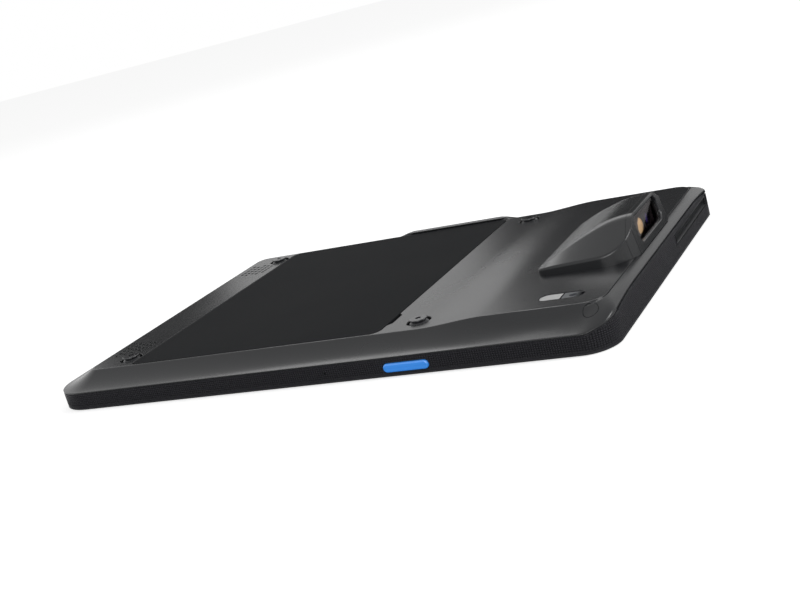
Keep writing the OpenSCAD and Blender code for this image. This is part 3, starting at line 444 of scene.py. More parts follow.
def rod(name, place, radius, length, axis="Z", steps=32):
    """A plain round bar from a place, along an axis, as the start of a piece or tool."""
    turn = {"X": (0, math.pi / 2, 0), "Y": (-math.pi / 2, 0, 0), "Z": (0, 0, 0)}[axis]
    along = Vector([length / 2 if a == axis else 0 for a in "XYZ"])
    bpy.ops.object.select_all(action="DESELECT")
    bpy.ops.mesh.primitive_cylinder_add(vertices=steps, radius=radius, depth=abs(length),
                                        location=Vector(place) + along, rotation=turn)
    piece = bpy.context.object
    piece.name = name
    bpy.ops.object.transform_apply(location=True, rotation=True, scale=True)
    return piece


def settle(piece, material, body, slot, *nodes, angle=35):
    """Finishes a piece drawn in millimetres and fixes it to its body in place of CAD nodes."""
    pick(piece)
    bpy.ops.object.transform_apply(location=True, rotation=True, scale=True)
    bpy.ops.object.shade_smooth_by_angle(angle=math.radians(angle))
    modify(piece, "WEIGHTED_NORMAL", keep_sharp=True)
    piece.data.transform(Matrix.Scale(0.001, 4))
    piece.data.materials.clear()
    piece.data.materials.append(material)
    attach(piece, body)
    if nodes:
        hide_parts(*nodes)


# Each key's place along the body, its side, its length and its height; all lie at one level.
key_z, key_gap = 3.85, 0.2
scan_place, power_place, volume_place = (48.2, -1, 19.5, 3.7), (22.5, 1, 11, 3), (-5, 1, 26, 3)


def keyway(x, side, length, height, deep=8):
    """Tool for a key's round-ended hole in the frame."""
    half, r, y = length / 2 + key_gap, height / 2 + key_gap, side * side_y
    tool = box("keyway", (x - half, y - deep, key_z - r), (x + half, y + deep, key_z + r))
    bevel(tool, r - 0.01, 8, lambda a, b: abs(a.y - b.y) > 1)
    return tool


def is_knurl(face):
    """Whether a face of the frame's skin is one of the knurl's squares."""
    x, y, z = face.center
    outward = face.normal.x * x / end_x + face.normal.y * y / side_y > 0.3
    return (outward and abs(face.normal.z) < 0.2 and knurl_z < z < parting(x, y) - 0.4
            and face.area > 0.45)


knurl_z, knurl_pitch, knurl_depth, knurl_inset, knurl_rows = 1.6, 0.83, 0.45, 0.22, 14
body = body_outline(0)
sunk = body_outline(knurl_depth)
lip = body_outline(0.3)
seat = body_outline(0.85)
inner = body_outline(3)
levels = [(x, y, parting(x, y)) for x, y in body]
loops = [[(x, y, 0.3) for x, y in seat], [(x, y, 0.3) for x, y in lip],
         [(x, y, 0.6) for x, y in body], [(x, y, 1.15) for x, y in body],
         [(x, y, 1.35) for x, y in sunk]]
for k in range(knurl_rows + 1):
    loops.append([(p[0], p[1], min(knurl_z + knurl_pitch * k, q[2] - 0.4))
                  for p, q in zip(sunk, levels)])
loops += [[(p[0], p[1], q[2] - 0.15) for p, q in zip(sunk, levels)],
          [(p[0], p[1], q[2]) for p, q in zip(body_outline(0.4), levels)],
          [(p[0], p[1], q[2]) for p, q in zip(inner, levels)],
          [(x, y, 1.2) for x, y in inner], [(x, y, 1.2) for x, y in seat]]
side_frame = skin("knurled_side_frame", loops + loops[:1])
open_up(side_frame, "FACE", is_knurl)
bpy.ops.mesh.inset(thickness=knurl_inset, depth=knurl_depth, use_individual=True)
close_up()
cut(side_frame, [keyway(*scan_place), keyway(*power_place), keyway(*volume_place),
                 rod("mic", (12.6, -93, 4.35), 0.5, 8, "Y", 16),
                 box("door_recess", (128.1, 13.8, 6.0), (133, 79, 10.6))])
pin_x, pin_y, port_x = 129.15, 14.85, 124
tools = [rod("pin_hole", (pin_x, pin_y, 5.2), 0.4, 6.2, "Z", 16),
         rod("jack_hole", (port_x, 38, 8.3), 1.8, 6, "X", 32),
         box("card_mouth_low", (port_x, 50, 6.7), (end_x, 64, 7.7)),
         box("card_mouth_high", (port_x, 50, 8.9), (end_x, 64, 9.9))]
usb = box("usb_mouth", (port_x, 21.25, 6.65), (end_x, 30.75, 9.95))
bevel(usb, 1.6, 8, lambda a, b: abs(a.x - b.x) > 1)
cut(side_frame, tools + [usb])

# Moulded, spark-eroded black plastic: a dark grey, with a soft shine on the studs' tops.
frame_plastic, tree, where, surface = finish("moulded_black_frame")
grain = add(tree, "TexNoise", {"Vector": where, "Scale": 5000.0, "Detail": 3.0})
tone = add(tree, "MixRGB", {"Fac": grain, 1: linear("#222225"), 2: linear("#323236")})
relief = add(tree, "Bump", {"Height": grain, "Strength": 0.2, "Distance": 0.00004})
fill(surface, {"Base Color": tone, "Normal": relief, "Roughness": 0.42})
settle(side_frame, frame_plastic, "tablet", "frame_plastic", "side_frame")


# The keys are moulded pills with a soft edge, held behind the frame by a flange. The scan
# key is bright blue; the power key and the volume rocker are black.
def side_key(name, x, side, length, height, slack):
    """A key whose face stands 0.5 mm out of the frame, drawn for the +Y side and turned."""
    back, proud, flange, flange_t = 3.8 + slack, 0.5, 0.7, 0.8
    half, r = length / 2, height / 2
    face = box(name, (-half, -back, -r), (half, proud, r))
    bevel(face, r - 0.01, 10, lambda a, b: abs(a.y - b.y) > 1)
    bevel(face, 0.8, 5, lambda a, b: a.y > 0.4 and b.y > 0.4)
    lip = box("flange", (-half - flange, -back, -r - flange),
              (half + flange, flange_t - back, r + flange))
    bevel(lip, r + flange - 0.01, 10, lambda a, b: abs(a.y - b.y) > 0.5)
    cut(face, [lip], "UNION")
    face.rotation_euler = (0, 0, 0 if side > 0 else math.pi)
    face.location = (x, side * side_y, key_z)
    return face


# The rocker tips by 1.2 degrees, so its flange needs the room of that swing behind the frame.
key_slack, rocker_reach = 0.1, 13.7
rocker_slack = key_slack + rocker_reach * math.sin(math.radians(1.2))
scan_key = side_key("blue_scan_key", *scan_place, key_slack)
power_key = side_key("power_key_cap", *power_place, key_slack)
volume_key = side_key("volume_rocker_cap", *volume_place, rocker_slack)

# Blue ABS: a bright clear colour under a glossy coat, with a very fine moulded grain.
blue_abs, tree, where, surface = finish("satin_blue_abs")
grain = add(tree, "TexNoise", {"Vector": where, "Scale": 6000.0, "Detail": 2.0})
tone = add(tree, "MixRGB", {"Fac": grain, 1: linear("#3894FA"), 2: linear("#46A0FF")})
rough = add(tree, "MapRange", {"Value": grain, "To Min": 0.28, "To Max": 0.4})
fill(surface, {"Base Color": tone, "Roughness": rough, "Coat Weight": 1.0})
settle(scan_key, blue_abs, "scan_key", "blue_plastic", "scan_button")

# Black ABS of the keys and the port flap: smoother and a shade darker than the frame.
key_plastic, tree, where, surface = finish("satin_black_abs")
grain = add(tree, "TexNoise", {"Vector": where, "Scale": 4500.0, "Detail": 3.0})
tone = add(tree, "MixRGB", {"Fac": grain, 1: linear("#151618"), 2: linear("#1F2023")})
rough = add(tree, "MapRange", {"Value": grain, "To Min": 0.3, "To Max": 0.42})
fill(surface, {"Base Color": tone, "Roughness": rough})
settle(power_key, key_plastic, "power_key", "frame_plastic", "power_button")
settle(volume_key, key_plastic, "volume_rocker", "frame_plastic", "volume_key")

# The flap over the ports is a thin moulding that turns on a steel pin at its near end. A rim
# runs round its sunk face, and a deep groove along it gives the nail a hold.
flap = box("port_flap_moulding", (128.3, pin_y, 6.2), (end_x, 75, 10.4))
cut(flap, [rod("barrel", (pin_x, pin_y, 6.2), 0.85, 4.2, "Z", 24)], "UNION")
cut(flap, [box("sunk_face", (129.4, 16.2, 6.9), (131, 73.2, 10.05))])
bevel(flap, 0.25, 2, lambda a, b: min(a.x, b.x) > end_x - 0.1 and abs(a.y - b.y) > 30)
cut(flap, [rod("pin_bore", (pin_x, pin_y, 5), 0.45, 7, "Z", 16)])
cut(flap, [box("groove", (128.9, 17.2, 8.2), (131, 71.6, 8.9))])
settle(flap, key_plastic, "port_flap", "frame_plastic", "port_door")


# The rear housing is one moulding in charcoal ABS. A shoulder falls from the plateau to the
# rim, hollow along the sides and domed round the scanner end, and a ramp lifts that end. The
# bay, the stud wells, the speaker holes and the camera recess are moulded in.
deck_z, scanner_rise = 14.2, 1.8
scanner_z = deck_z + scanner_rise


def smooth(s):
    """A soft step from 0 to 1."""
    s = min(1, max(0, s))
    return s * s * (3 - 2 * s)


def plateau(x):
    """The flat rear's height, which climbs a ramp to the scanner end."""
    ramp_x, ramp_l = 50, 29
    return deck_z + scanner_rise * smooth((x - ramp_x) / ramp_l)


def solid(name, loops):
    """A closed body over closed loops of points, with its two ends filled."""
    piece = skin(name, loops)
    bpy.ops.object.mode_set(mode="EDIT")
    bpy.ops.mesh.select_non_manifold()
    bpy.ops.mesh.fill_holes(sides=0)
    bpy.ops.object.mode_set(mode="OBJECT")
    tidy(piece)
    return piece


def stations():
    """Pairs of a rim point and a crease point round the near half, from the bottom end."""
    def pair(a, rim, crease):
        turn = Vector((math.cos(math.radians(a)), math.sin(math.radians(a))))
        return (Vector(rim[:2]) + turn * rim[2], Vector(crease[:2]) + turn * crease[2])
    crease_x, crease_y, crease_top = 125.2, 77.5, 68.5
    pairs = [pair(a, (bottom_x, -bottom_y, bottom_r), (-108, 5 - crease_y, 5))
             for a in range(180, 271, 6)]
    pairs += [(Vector((x, -side_y)), Vector((x, -crease_y)))
              for x in [-90, -60, -30, 0, 30, 50] + [50 + 2.9 * i for i in range(1, 11)]
              + [84, 89, 94, 99, 104, 109, 113]]
    pairs += [pair(a, (top_x, -top_y, top_r), (116.2, -crease_top, 9))
              for a in range(270, 361, 5)]
    pairs += [(Vector((end_x, -top_y + 3.5 * i)), Vector((crease_x, -crease_top + 3.16 * i)))
              for i in range(1, 10)]
    return pairs


def shoulder(t, rim, crease):
    """Height along the shoulder, from 0 at the rim to 1 at the crease, where it meets the flat.

    It is a plain hollow low down the sides, flatter with a steep top beside the ramp, and a
    dome with a slight bulge and a fine valley under the crease round the scanner end.
    """
    rim_z, top_z, bulge, soft = parting(*rim) + 0.5, plateau(crease.x), 0.3, 0.12
    ramp = smooth((crease.x - 55) / 50) * (1 - 0.5 * smooth((crease.x - 104) / 14))
    dome = smooth((rim.x - 115) / 14)
    side = (1 - ramp) * t ** 1.6 + ramp * (0.42 * t + 0.58 * min(t, 1.1) ** 5)
    share = (1 - dome) * side + dome * t ** (0.8 - 0.3 * smooth((rim.x - 126) / 4))
    valley = 1.2 * dome * math.exp(-((t - 0.955) / 0.04) ** 2)
    slope = rim_z + (top_z + bulge * dome - rim_z) * share - valley + max(0, t - 1) * 9
    flat = top_z + bulge * dome * smooth((0.96 - t) / 0.04)
    if slope - flat >= 3:
        return flat
    return flat - soft * math.log(math.exp((flat - slope) / soft) + 1)


def split_face(piece, pairs):
    """Draws edges across a face between pairs of its points."""
    for pair in pairs:
        ends = [min(piece.data.vertices, key=lambda v: (v.co - Vector(point)).length).index
                for point in pair]
        open_up(piece, "VERT", lambda corner: corner.index in ends)
        bpy.ops.mesh.vert_connect()
        close_up()


def duplicate(piece, name):
    """A copy of a piece with its own mesh."""
    pick(piece)
    bpy.ops.object.duplicate()
    copy = bpy.context.object
    copy.name = name
    return copy


def copies(piece, places):
    """A piece at each of several places, all as one."""
    made = [piece] + [duplicate(piece, piece.name) for place in places[1:]]
    for copy, (x, y) in zip(made, places):
        copy.location = (x, y, 0)
        pick(copy)
        bpy.ops.object.transform_apply(location=True)
    return join(made)


def rounded_loop(x0, y0, x1, y1, r, z):
    """A rounded rectangle at one height, anticlockwise."""
    return [(x, y, z) for x, y in arc(x1 - r, y0 + r, r, -90, 0, 8) + [(x1, y0 + r)]
            + arc(x1 - r, y1 - r, r, 0, 90, 8) + [(x1 - r, y1)]
            + arc(x0 + r, y1 - r, r, 90, 180, 8) + [(x0, y1 - r)]
            + arc(x0 + r, y0 + r, r, 180, 270, 8) + [(x0 + r, y0)]]


def turned(name, profile, steps):
    """A round piece on an upright axis, from radius and height pairs, foot first."""
    return solid(name, [[(x, y, z) for x, y in arc(0, 0, r, 0, 360, steps)]
                        for r, z in profile])


near = stations()
ring = near + [(Vector((a.x, -a.y)), Vector((b.x, -b.y))) for a, b in reversed(near)]
loops = []
for inset, rise in ((14, 0.0), (0.0, 0.0), (0.0, 0.3), (0.06, 0.42)):
    loop = []
    for rim, crease in ring:
        inward = (crease - rim).normalized() * inset
        loop.append((rim.x + inward.x, rim.y + inward.y, parting(*rim) + rise))
    loops.append(loop)
for t in (0.02, 0.06, 0.12, 0.2, 0.28, 0.36, 0.44, 0.52, 0.6, 0.68, 0.76, 0.82, 0.87, 0.9,
          0.925, 0.95, 0.97, 0.985, 1.0, 1.02, 1.05, 1.09, 1.14):
    loop = []
    for rim, crease in ring:
        p = rim + (crease - rim) * t
        loop.append((p.x, p.y, shoulder(t, rim, crease)))
    loops.append(loop)
housing = solid("rear_housing_moulding", loops)
ramp_edges = [i for i, (rim, crease) in enumerate(near) if 45 < crease.x < 85]
split_face(housing, [(loops[-1][i], loops[-1][len(ring) - 1 - i]) for i in ramp_edges])
plugs = duplicate(housing, "screw_plugs_moulding")

section = [(-111.5, -1), (-111.5, 12.2), (54, 12.2), (79, 14), (123.2, 14), (123.2, -1)]
cut(housing, [solid("cavity", [[(x, y, z) for x, z in section] for y in (-75.4, 75.4)])])
cut(housing, [box("frame_room", (-115, -79.5, -1), (122, 79.5, 9.5))])
bay_y, cover_x0, cover_x1, cover_y, cover_gap = 76.9, -90, 33, 76.6, 0.3
cut(housing, [box("bay_wall", (-89.9, -bay_y, 4.5), (32.9, bay_y, 12.9))], "UNION")
cut(housing, [box("bay_rib", (31.3, -bay_y, 11.6), (34.9, bay_y, 12.5))], "UNION")
studs = [(x, side * 67.7) for x in (-95.6, 47.5) for side in (-1, 1)]
cut(housing, [rod("boss", (x, y, 10.4), 6.4, 3, "Z", 48) for x, y in studs], "UNION")

# A low rounded ridge beside the far edge keeps a hand or a table off the side keys.
guard = []
guard_x0, guard_x1, guard_end, guard_steps = -32, 41, 13, 24
for i in range(guard_steps + 1):
    x = guard_x0 + (guard_x1 - guard_x0) * i / guard_steps
    lift = smooth((x - guard_x0) / guard_end) * smooth((guard_x1 - x) / guard_end)
    crest = 13.2 + 2.3 * lift
    guard.append([(x, 75.5, 8.4), (x, 76.3, crest - 1.2), (x, 76.9, crest - 0.4),
                  (x, 77.7, crest), (x, 79.2, crest), (x, 80.2, crest - 0.6),
                  (x, 81.6, 11.9), (x, 83.1, 9.9), (x, 83.9, 8.4)])
cut(housing, [solid("key_guard", guard)], "UNION")

cut(housing, [box("case_hole", (-88.3, -74.9, -1), (31.3, 74.9, 15))])
recess = [rounded_loop(cover_x0 - g, -cover_y - g, cover_x1 + g, cover_y + g, 4 + g, z)
          for g, z in ((cover_gap, 12.8), (cover_gap, 13.95), (0.55, deck_z), (1.35, 15))]
cut(housing, [solid("cover_recess", recess)])
hole_x, hole_y, hole_pitch, hole_rows = -102, 55.8, 3.15, 5
holes = [(hole_x + (i - 2) * hole_pitch, side * (hole_y + (j - 2 - (i % 2) / 2) * hole_pitch))
         for side in (-1, 1) for i in range(hole_rows) for j in range(hole_rows)]
hole = turned("hole", [(0.85, 11), (0.85, 14.02), (1.0, deck_z), (1.1, 14.5)], 16)
cut(housing, [copies(hole, holes)])
well = turned("well", [(1.7, 5), (1.7, 12.4), (5, 12.4), (5, 13.95), (5.2, deck_z),
                       (6.2, 15.2)], 48)
screw_bore = turned("plug_bore", [(1, 5), (1, 10.35), (1.9, 10.35), (1.9, 11.05),
                                  (3, 11.05), (3, 17)], 40)
pill_y = -65
pill = [rounded_loop(97.4 - g, pill_y - 3.5 - g, 115.4 + g, pill_y + 3.5 + g, 3.49 + g, z)
        for g, z in ((0, 15.1), (0, 15.8), (0.2, scanner_z), (1.2, 17))]
notch = solid("finger_notch", [
    [(32.9, -69.4, z), (35.3, -66.4, z), (35.3, -57.0, z), (32.9, -54.2, z)]
    for z in (13.1, 15)])
plug_places = [(121.4, -79.5), (121.4, 79.5)]
cut(housing, [copies(well, studs), copies(screw_bore, plug_places), notch,
              solid("camera_recess", pill)])
hood_y = -2.5
hood_screws = [(96.4, hood_y - 14), (96.4, hood_y + 14)]
bores = [rod("lens_hole", (110.8, pill_y, 12), 2.9, 3.5, "Z", 32),
         rod("flash_hole", (102, pill_y, 12), 2.4, 3.5, "Z", 32),
         rod("mic_hole", (91.4, pill_y, 12), 0.5, 5, "Z", 16),
         box("cable_opening", (99, hood_y - 25, 12), (121.8, hood_y + 25, 20))]
cut(housing, bores + [rod("hood_hole", (x, y, 12), 1, 5, "Z", 16) for x, y in hood_screws])

# Charcoal ABS with a fine etched texture: dark and even, with a silky shine that opens to a
# pale glare where the light grazes it.
charcoal, tree, where, surface = finish("textured_charcoal_abs")
etch = add(tree, "TexNoise", {"Vector": where, "Scale": 3600.0, "Detail": 2.0})
clouds = add(tree, "TexNoise", {"Vector": where, "Scale": 30.0, "Detail": 3.0})
tone = add(tree, "MixRGB", {"Fac": clouds, 1: linear("#18191B"), 2: linear("#1D1E20")})
relief = add(tree, "Bump", {"Height": etch, "Strength": 0.12, "Distance": 0.00004})
rough = add(tree, "MapRange", {"Value": clouds, "To Min": 0.24, "To Max": 0.29})
fill(surface, {"Base Color": tone, "Normal": relief, "Roughness": rough,
               "Specular IOR Level": 0.4})
settle(housing, charcoal, "tablet", "housing_plastic", "rear_housing")

# Soft plugs, shaped like the shoulder they are pressed into, hide the two end screws.
cut(plugs, [rod("plug", (x, y, 11.05), 2.82, 6, "Z", 40) for x, y in plug_places],
    "INTERSECT")
settle(plugs, charcoal, "tablet", "housing_plastic", "screw_plugs")

# Each strap stud is turned from one bar of steel and coated black: a flared skirt that fills
# the foot of its well, a neck, and a button head with a small hexagon pocket.
stud = turned("turned_strap_studs", [
    (1.5, 5.7), (1.5, 12.4), (4.1, 12.4), (4.15, 13.4), (4.0, 13.75), (3.6, 14.1),
    (3.25, 14.45), (3.1, 14.7), (3.25, 14.82), (3.6, 14.88), (3.75, 15.0), (3.75, 15.28),
    (3.65, 15.43), (3.4, 15.5)], 64)
cut(stud, [rod("hexagon", (0, 0, 15.1), 1.3, 1, "Z", 6)])
stud = copies(stud, studs)

# Black coated steel: a dark, slightly metallic shine with a fine mottle.
stud_coat, tree, where, surface = finish("black_coated_steel")
scuff = add(tree, "TexNoise", {"Vector": where, "Scale": 1800.0, "Detail": 3.0})
tone = add(tree, "MixRGB", {"Fac": scuff, 1: linear("#1B1C1E"), 2: linear("#2A2B2E")})
rough = add(tree, "MapRange", {"Value": scuff, "To Min": 0.2, "To Max": 0.3})
fill(surface, {"Base Color": tone, "Roughness": rough, "Metallic": 0.3})
settle(stud, stud_coat, "tablet", "stud_metal", "strap_studs", angle=40)

# The battery pack is a moulded case whose lid lies flush in the plateau. It sits on a rubber
# seal and lifts out, and holds two foil pouches, a small board and seven gold contacts.
cover = box("battery_cover_moulding", (cover_x0, -cover_y, 12.9), (cover_x1, cover_y, deck_z))
bevel(cover, 4, 10, lambda a, b: abs(a.z - b.z) > 1)
bevel(cover, 0.3, 3, lambda a, b: a.z > 14.1 and b.z > 14.1)

# Smooth dark ABS: darker and more matt than the housing, with a hint of cloudy flow marks.
cover_abs, tree, where, surface = finish("smooth_dark_abs")
etch = add(tree, "TexNoise", {"Vector": where, "Scale": 4200.0, "Detail": 2.0})
clouds = add(tree, "TexNoise", {"Vector": where, "Scale": 25.0, "Detail": 3.0})
tone = add(tree, "MixRGB", {"Fac": clouds, 1: linear("#141516"), 2: linear("#18191B")})
relief = add(tree, "Bump", {"Height": etch, "Strength": 0.15, "Distance": 0.00004})
rough = add(tree, "MapRange", {"Value": clouds, "To Min": 0.72, "To Max": 0.8})
fill(surface, {"Base Color": tone, "Normal": relief, "Roughness": rough,
               "Specular IOR Level": 0.06})
settle(cover, cover_abs, "battery_pack", "cover_plastic", "battery_cover")
dress(cover_abs, "battery_case")

# Silicone: matt black with a bloom of fine dust.
silicone, tree, where, surface = finish("black_silicone")
bloom = add(tree, "TexNoise", {"Vector": where, "Scale": 800.0, "Detail": 4.0})
tone = add(tree, "MixRGB", {"Fac": bloom, 1: linear("#0D0E0F"), 2: linear("#1A1B1C")})
fill(surface, {"Base Color": tone, "Roughness": 0.7})
dress(silicone, "battery_gasket")

# Laminated foil: crinkled soft silver.
pouch_foil, tree, where, surface = finish("laminated_pouch_foil")
crinkle = add(tree, "TexNoise", {"Vector": where, "Scale": 140.0, "Detail": 5.0})
tone = add(tree, "MixRGB", {"Fac": crinkle, 1: linear("#A9ACAE"), 2: linear("#C3C5C7")})
relief = add(tree, "Bump", {"Height": crinkle, "Strength": 0.4, "Distance": 0.0003})
fill(surface, {"Base Color": tone, "Normal": relief, "Metallic": 0.9, "Roughness": 0.38})
dress(pouch_foil, "battery_cells")


# The camera window is a pill of clear plastic in a recess. Its one half is painted silver
# behind, with the flash under a diffuser; the other half is smoked over the lens.
def slice_off(piece, place, normal):
    """Cuts away all of a piece that lies beyond a plane, and closes the cut."""
    pick(piece)
    bpy.ops.object.mode_set(mode="EDIT")
    bpy.ops.mesh.select_all(action="SELECT")
    bpy.ops.mesh.bisect(plane_co=place, plane_no=normal, use_fill=True, clear_outer=True)
    close_up()


pane = [rounded_loop(97.55 + g, pill_y - 3.35 + g, 115.25 - g, pill_y + 3.35 - g, 3.34 - g, z)
        for g, z in ((0, 15.1), (0, 15.55), (0.06, 15.65), (0.18, 15.7))]
camera_pane = solid("smoked_camera_pane", pane)
flash_pane = duplicate(camera_pane, "silver_flash_pane")
slice_off(camera_pane, (106.2, 0, 0), (-1, 0, 0))
slice_off(flash_pane, (106.1, 0, 0), (1, 0, 0))

# Smoked acrylic: very glossy, with a clearer spot over the lens. Its grey is a painted
# reflection that fades to near black at its far end, and the thin dark divider at its near end
# is painted shade.
smoked, tree, where, surface = finish("smoked_acrylic")
centred = add(tree, "Mapping", {"Vector": where, "Location": (-0.1108, 0.065, -0.0157)})
reach = add(tree, "VectorMath", {0: centred}, operation="LENGTH")
over_lens = add(tree, "MapRange", {"Value": reach.outputs["Value"], "From Min": 0.0013,
                                   "From Max": 0.0017})
along = add(tree, "SeparateXYZ", {"Vector": centred})
# Painted reflection: grey up to the lens, fading to near black at the pane's far end.
painted_light_fade = add(tree, "MapRange", {"Value": along.outputs["X"], "From Min": -0.0005,
                              "From Max": 0.0035})
film_and_painted_light = add(tree, "MixRGB", {"Fac": painted_light_fade, 1: linear("#8E9092"), 2: linear("#1A1B1E")})
# Painted shade: a thin near-black strip along the pane's near end, where it meets the flash
# pane.
painted_shade_divider = add(tree, "MapRange", {"Value": along.outputs["X"], "From Min": -0.0042,
                                 "From Max": -0.0038})
film_and_painted_light = add(tree, "MixRGB", {"Fac": painted_shade_divider, 1: linear("#050506"), 2: film_and_painted_light})
tone = add(tree, "MixRGB", {"Fac": over_lens, 1: linear("#55575C"), 2: film_and_painted_light})
fill(surface, {"Base Color": tone, "Roughness": 0.06, "Coat Weight": 0.5})
settle(camera_pane, smoked, "tablet", "camera_glass", "camera_window")

# Silver paint behind clear plastic, and a pale diffuser with a fine rib every 0.8 mm.
diffuser, tree, where, surface = finish("silver_backed_diffuser")
ribs = add(tree, "TexWave", {"Vector": where, "Scale": 390.0}, bands_direction="X")
tone = add(tree, "MixRGB", {"Fac": ribs.outputs["Fac"], 1: linear("#D9DADB"),
                            2: linear("#F2F2F0")})
fill(surface, {"Base Color": tone, "Roughness": 0.14, "Coat Weight": 0.6})
settle(flash_pane, diffuser, "tablet", "led_diffuser")
dress(diffuser, "flash_led")


# The scanner's hood is a wedge moulded in the same charcoal ABS, open at its foot and front,
# with a soft ridge along each side of its flat top and a sharper brow over each wall.
hood_x0, hood_x1, hood_half_w, hood_corner, hood_tail = 84, 126.8, 33.5, 14, 7
face_tilt = math.radians(10)


def hood_edge(x):
    """Half the hood's width at one place, with a blunt tail and round front corners."""
    front = max(0, x - (hood_x1 - hood_corner))
    tail = min(0.999, max(0, hood_x0 + hood_tail - x) / hood_tail)
    return (hood_half_w - hood_corner + math.sqrt(hood_corner ** 2 - front * front)
            - hood_half_w * (1 - (1 - tail ** 3) ** (1 / 3)))


def hood_share(x):
    """How far along the hood a place is, from 0 at its tail to 1 at its face."""
    return min(1, (x - hood_x0) / (hood_x1 - hood_x0))


def hood_ridge(x):
    """Half the width of the flat top, which narrows towards the face."""
    return 16 + 15 * (1 - hood_share(x)) ** 2


def hood_top(x):
    """The flat top's height, a bow that rises from the tail."""
    return 16.4 + 14.4 * (1 - (1 - hood_share(x)) ** 1.9)


def hood_brow(x):
    """The brow's height: low along the walls, and up round each front corner to the ridge."""
    low, top, ridge = 18.6 + 2 * hood_share(x), hood_top(x), hood_ridge(x)
    if x > 100:
        low = top - (top - low) * (hood_edge(x) - ridge) / (hood_half_w - ridge)
    return min(low, scanner_z + (top - scanner_z) * 0.92)


def rounded(before, corner, after, radius, steps=5):
    """Points that round one corner of a section."""
    c = Vector(corner)
    a, b = Vector(before) - c, Vector(after) - c
    reach = min(radius, a.length * 0.45, b.length * 0.45)
    p, q = c + a.normalized() * reach, c + b.normalized() * reach
    return [(1 - t) ** 2 * p + 2 * t * (1 - t) * c + t * t * q
            for t in [i / steps for i in range(steps + 1)]]


def hood_section(x):
    """The hood's outline across the body at one place, leaning with the face towards it."""
    edge, top, brow = hood_edge(x), hood_top(x), hood_brow(x)
    ridge = min(hood_ridge(x), edge - 0.4)
    lean = math.tan(face_tilt) * smooth((x - 104) / 15)
    near_side = ([Vector((-edge, scanner_z))]
                 + rounded((-edge, scanner_z), (-edge, brow), (-ridge, top), 0.9)
                 + rounded((-edge, brow), (-ridge, top), (0, top), 2.6, 7))
    far_side = [Vector((-p.x, p.y)) for p in reversed(near_side)]
    return [(x - lean * (p.y - face_z), hood_y + p.x, p.y) for p in near_side + far_side]


# The face's foot lies this high, and the sections crowd where the outline turns.
face_z, bend_x = 18.5, hood_x1 - hood_corner
tail = [hood_x0 + hood_tail * t
        for t in (0.003, 0.015, 0.04, 0.08, 0.14, 0.22, 0.32, 0.44, 0.58, 0.78)]
middle = [91 + 21.8 * i / 12 for i in range(12)]
front = [bend_x + (hood_corner - 0.001) * math.sin(math.radians(a)) for a in range(0, 91, 6)]
face_normal = Vector((math.cos(face_tilt), 0, math.sin(face_tilt)))


def behind_face(depth):
    """A point on the plane that lies a depth behind the scanner's face."""
    return Vector((hood_x1, hood_y, face_z)) - face_normal * depth


def ease(piece, depth, normal, steps):
    """Rounds the edge of the flat end a depth behind the scanner's face, inset by inset."""
    place = behind_face(depth)
    open_up(piece, "FACE", lambda end: abs((Vector(end.center) - place).dot(normal)) < 0.01
            and end.normal.dot(normal) > 0.99)
    for thickness, rise in steps:
        bpy.ops.mesh.inset(thickness=thickness, depth=rise)
    close_up()


def hollow_section(x):
    """The plain inside of the hood at one place, within its wall."""
    q, wall = min(x, 126.799), 1.7
    edge = max(1, hood_edge(q) - wall)
    ridge = max(0.5, min(hood_ridge(q), hood_edge(q) - 0.4) - wall)
    top = max(hood_top(q) - wall, 15.2)
    brow = min(max(hood_brow(q) - wall / 2, 15.1), top - 0.05)
    half = [(-edge, 15), (-edge, brow), (-ridge, top)]
    return [(x, hood_y + y, z) for y, z in half + [(-y, z) for y, z in reversed(half)]]


hood = solid("scanner_hood_moulding", [hood_section(x) for x in tail + middle + front])
bezel = duplicate(hood, "scanner_bezel_moulding")
hood_front, bezel_back, bezel_face = 2.5, 2.36, 0.35
slice_off(hood, behind_face(hood_front), face_normal)
ease(hood, hood_front, face_normal, [(0.02, 0.03), (0.06, 0.03)])
cut(hood, [solid("hollow", [hollow_section(85.5 + 2.5 * i) for i in range(18)])])
cut(hood, [rod("post", (x, y, 16.02), 2.1, 6, "Z", 24) for x, y in hood_screws], "UNION")
cut(hood, [rod("thread", (x, y, 15), 0.85, 5, "Z", 16) for x, y in hood_screws])
settle(hood, charcoal, "tablet", "housing_plastic", "scanner_hood")


# The bezel is a separate front piece that clips on. A thin lip runs round the window's
# opening, and a step behind it seats the glass.
def window_loop(grow, depth):
    """The window's outline at one depth behind the scanner's face."""
    w, h, chamfer = 17.5 + grow, 5.1 + grow, 2.4
    corners = [(-w, chamfer - h), (chamfer - w, -h), (w - chamfer, -h), (w, chamfer - h),
               (w, h - chamfer), (w - chamfer, h), (chamfer - w, h), (-w, h - chamfer)]
    points = []
    for i, corner in enumerate(corners):
        points += rounded(corners[i - 1], corner, corners[(i + 1) % 8], 1.1, 4)
    centre = Vector((125.81, hood_y, 24.1)) - face_normal * depth
    up = Vector((-face_normal.z, 0, face_normal.x))
    return [centre + Vector((0, p.x, 0)) + up * p.y for p in points]


slice_off(bezel, behind_face(bezel_face), face_normal)
slice_off(bezel, behind_face(bezel_back), -face_normal)
ease(bezel, bezel_face, face_normal, [(0.03, 0.15), (0.08, 0.12), (0.14, 0.08)])
ease(bezel, bezel_back, -face_normal, [(0.02, 0.03), (0.06, 0.03)])
opening = [window_loop(grow, depth) for grow, depth in
           ((0.8, 3.5), (0.8, 0.9), (0, 0.9), (0, 0.5), (0.12, 0.2), (0.4, 0), (0.8, -0.4))]
cut(bezel, [solid("window_opening", opening)])
settle(bezel, charcoal, "tablet", "housing_plastic", "scanner_bezel")

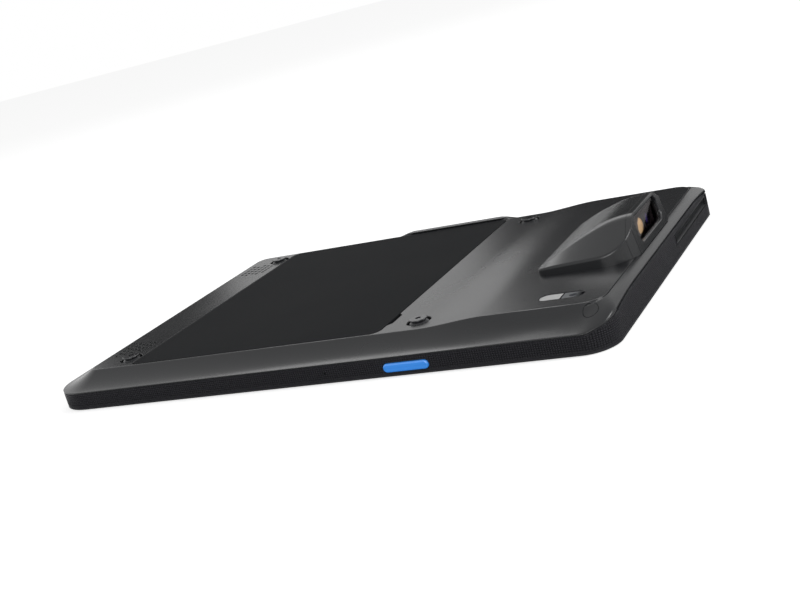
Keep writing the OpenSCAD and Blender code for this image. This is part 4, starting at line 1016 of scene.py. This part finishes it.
# Float glass with a faint warm coat that passes the scanner's red light.
coated_glass, tree, where, surface = finish("coated_window_glass")
haze = add(tree, "TexNoise", {"Vector": where, "Scale": 250.0, "Detail": 2.0})
rough = add(tree, "MapRange", {"Value": haze, "To Min": 0.01, "To Max": 0.03})
fill(surface, {"Roughness": rough, "Base Color": linear("#C8BCC0"),
               "Transmission Weight": 1.0, "IOR": 1.52})
pane = solid("scanner_glass", [window_loop(grow, depth) for grow, depth in
                               ((0.6, 2), (0.7, 1.9), (0.7, 1.0), (0.6, 0.9))])
settle(pane, coated_glass, "tablet", "red_window", "scanner_window")


# Two domed lenses and a small aiming lens look out of the engine's black block. They are
# moulded in clear acrylic, coated, and pressed into bores in its front.
def lens(name, dy, dz, r, depth=2.8):
    """A domed lens, turned upright and laid along the engine's axis."""
    dome = [(1, 0), (1, 0.55), (0.93, 0.72), (0.78, 0.86), (0.55, 0.95), (0.28, 0.99),
            (0.04, 1)]
    piece = turned(name, [(r * a, depth * b) for a, b in dome], 40)
    piece.rotation_euler = (0, math.radians(90), 0)
    piece.location = (lens_x, hood_y + dy, lens_z + dz)
    return piece


def coated_lens(name, rim, centre, painted_glow):
    """Glossy coated acrylic, deeper at the rim, with a painted glow in the same tone, lightest
    at the centre.
    """
    made, tree, where, surface = finish(name)
    edge = add(tree, "LayerWeight", {"Blend": 0.4})
    moulded = add(tree, "TexNoise", {"Vector": where, "Scale": 500.0})
    painted_light_fade = add(tree, "Math", {0: edge.outputs["Facing"], 1: moulded}, operation="MULTIPLY")
    tone = add(tree, "MixRGB", {"Fac": painted_light_fade, 1: linear(centre), 2: linear(rim)})
    fill(surface, {"Base Color": tone, "Emission Color": tone, "Emission Strength": painted_glow,
                   "Roughness": 0.05, "Coat Weight": 1.0})
    return made


# Each lens's last number is the strength of its painted glow, which no lamp gives it.
lens_x, lens_z, lens_pitch = 119.9, 22.7, 5.6
settle(lens("purple_lens", lens_pitch, 0, 2.7),
       coated_lens("purple_coated_lens", "#2A2460", "#544AA8", 0.3),
       "tablet", "purple_lens", "imager_lens")
settle(lens("amber_lens", -lens_pitch, 0, 3.5, 3.8),
       coated_lens("amber_coated_lens", "#E0B050", "#F6DC9C", 0.8),
       "tablet", "amber_lens", "illumination_lens")
settle(lens("aiming_lens", 0, -3.6, 1.0),
       coated_lens("red_coated_lens", "#3A0808", "#9A2020", 0.1),
       "tablet", "red_lens", "aimer_lens")
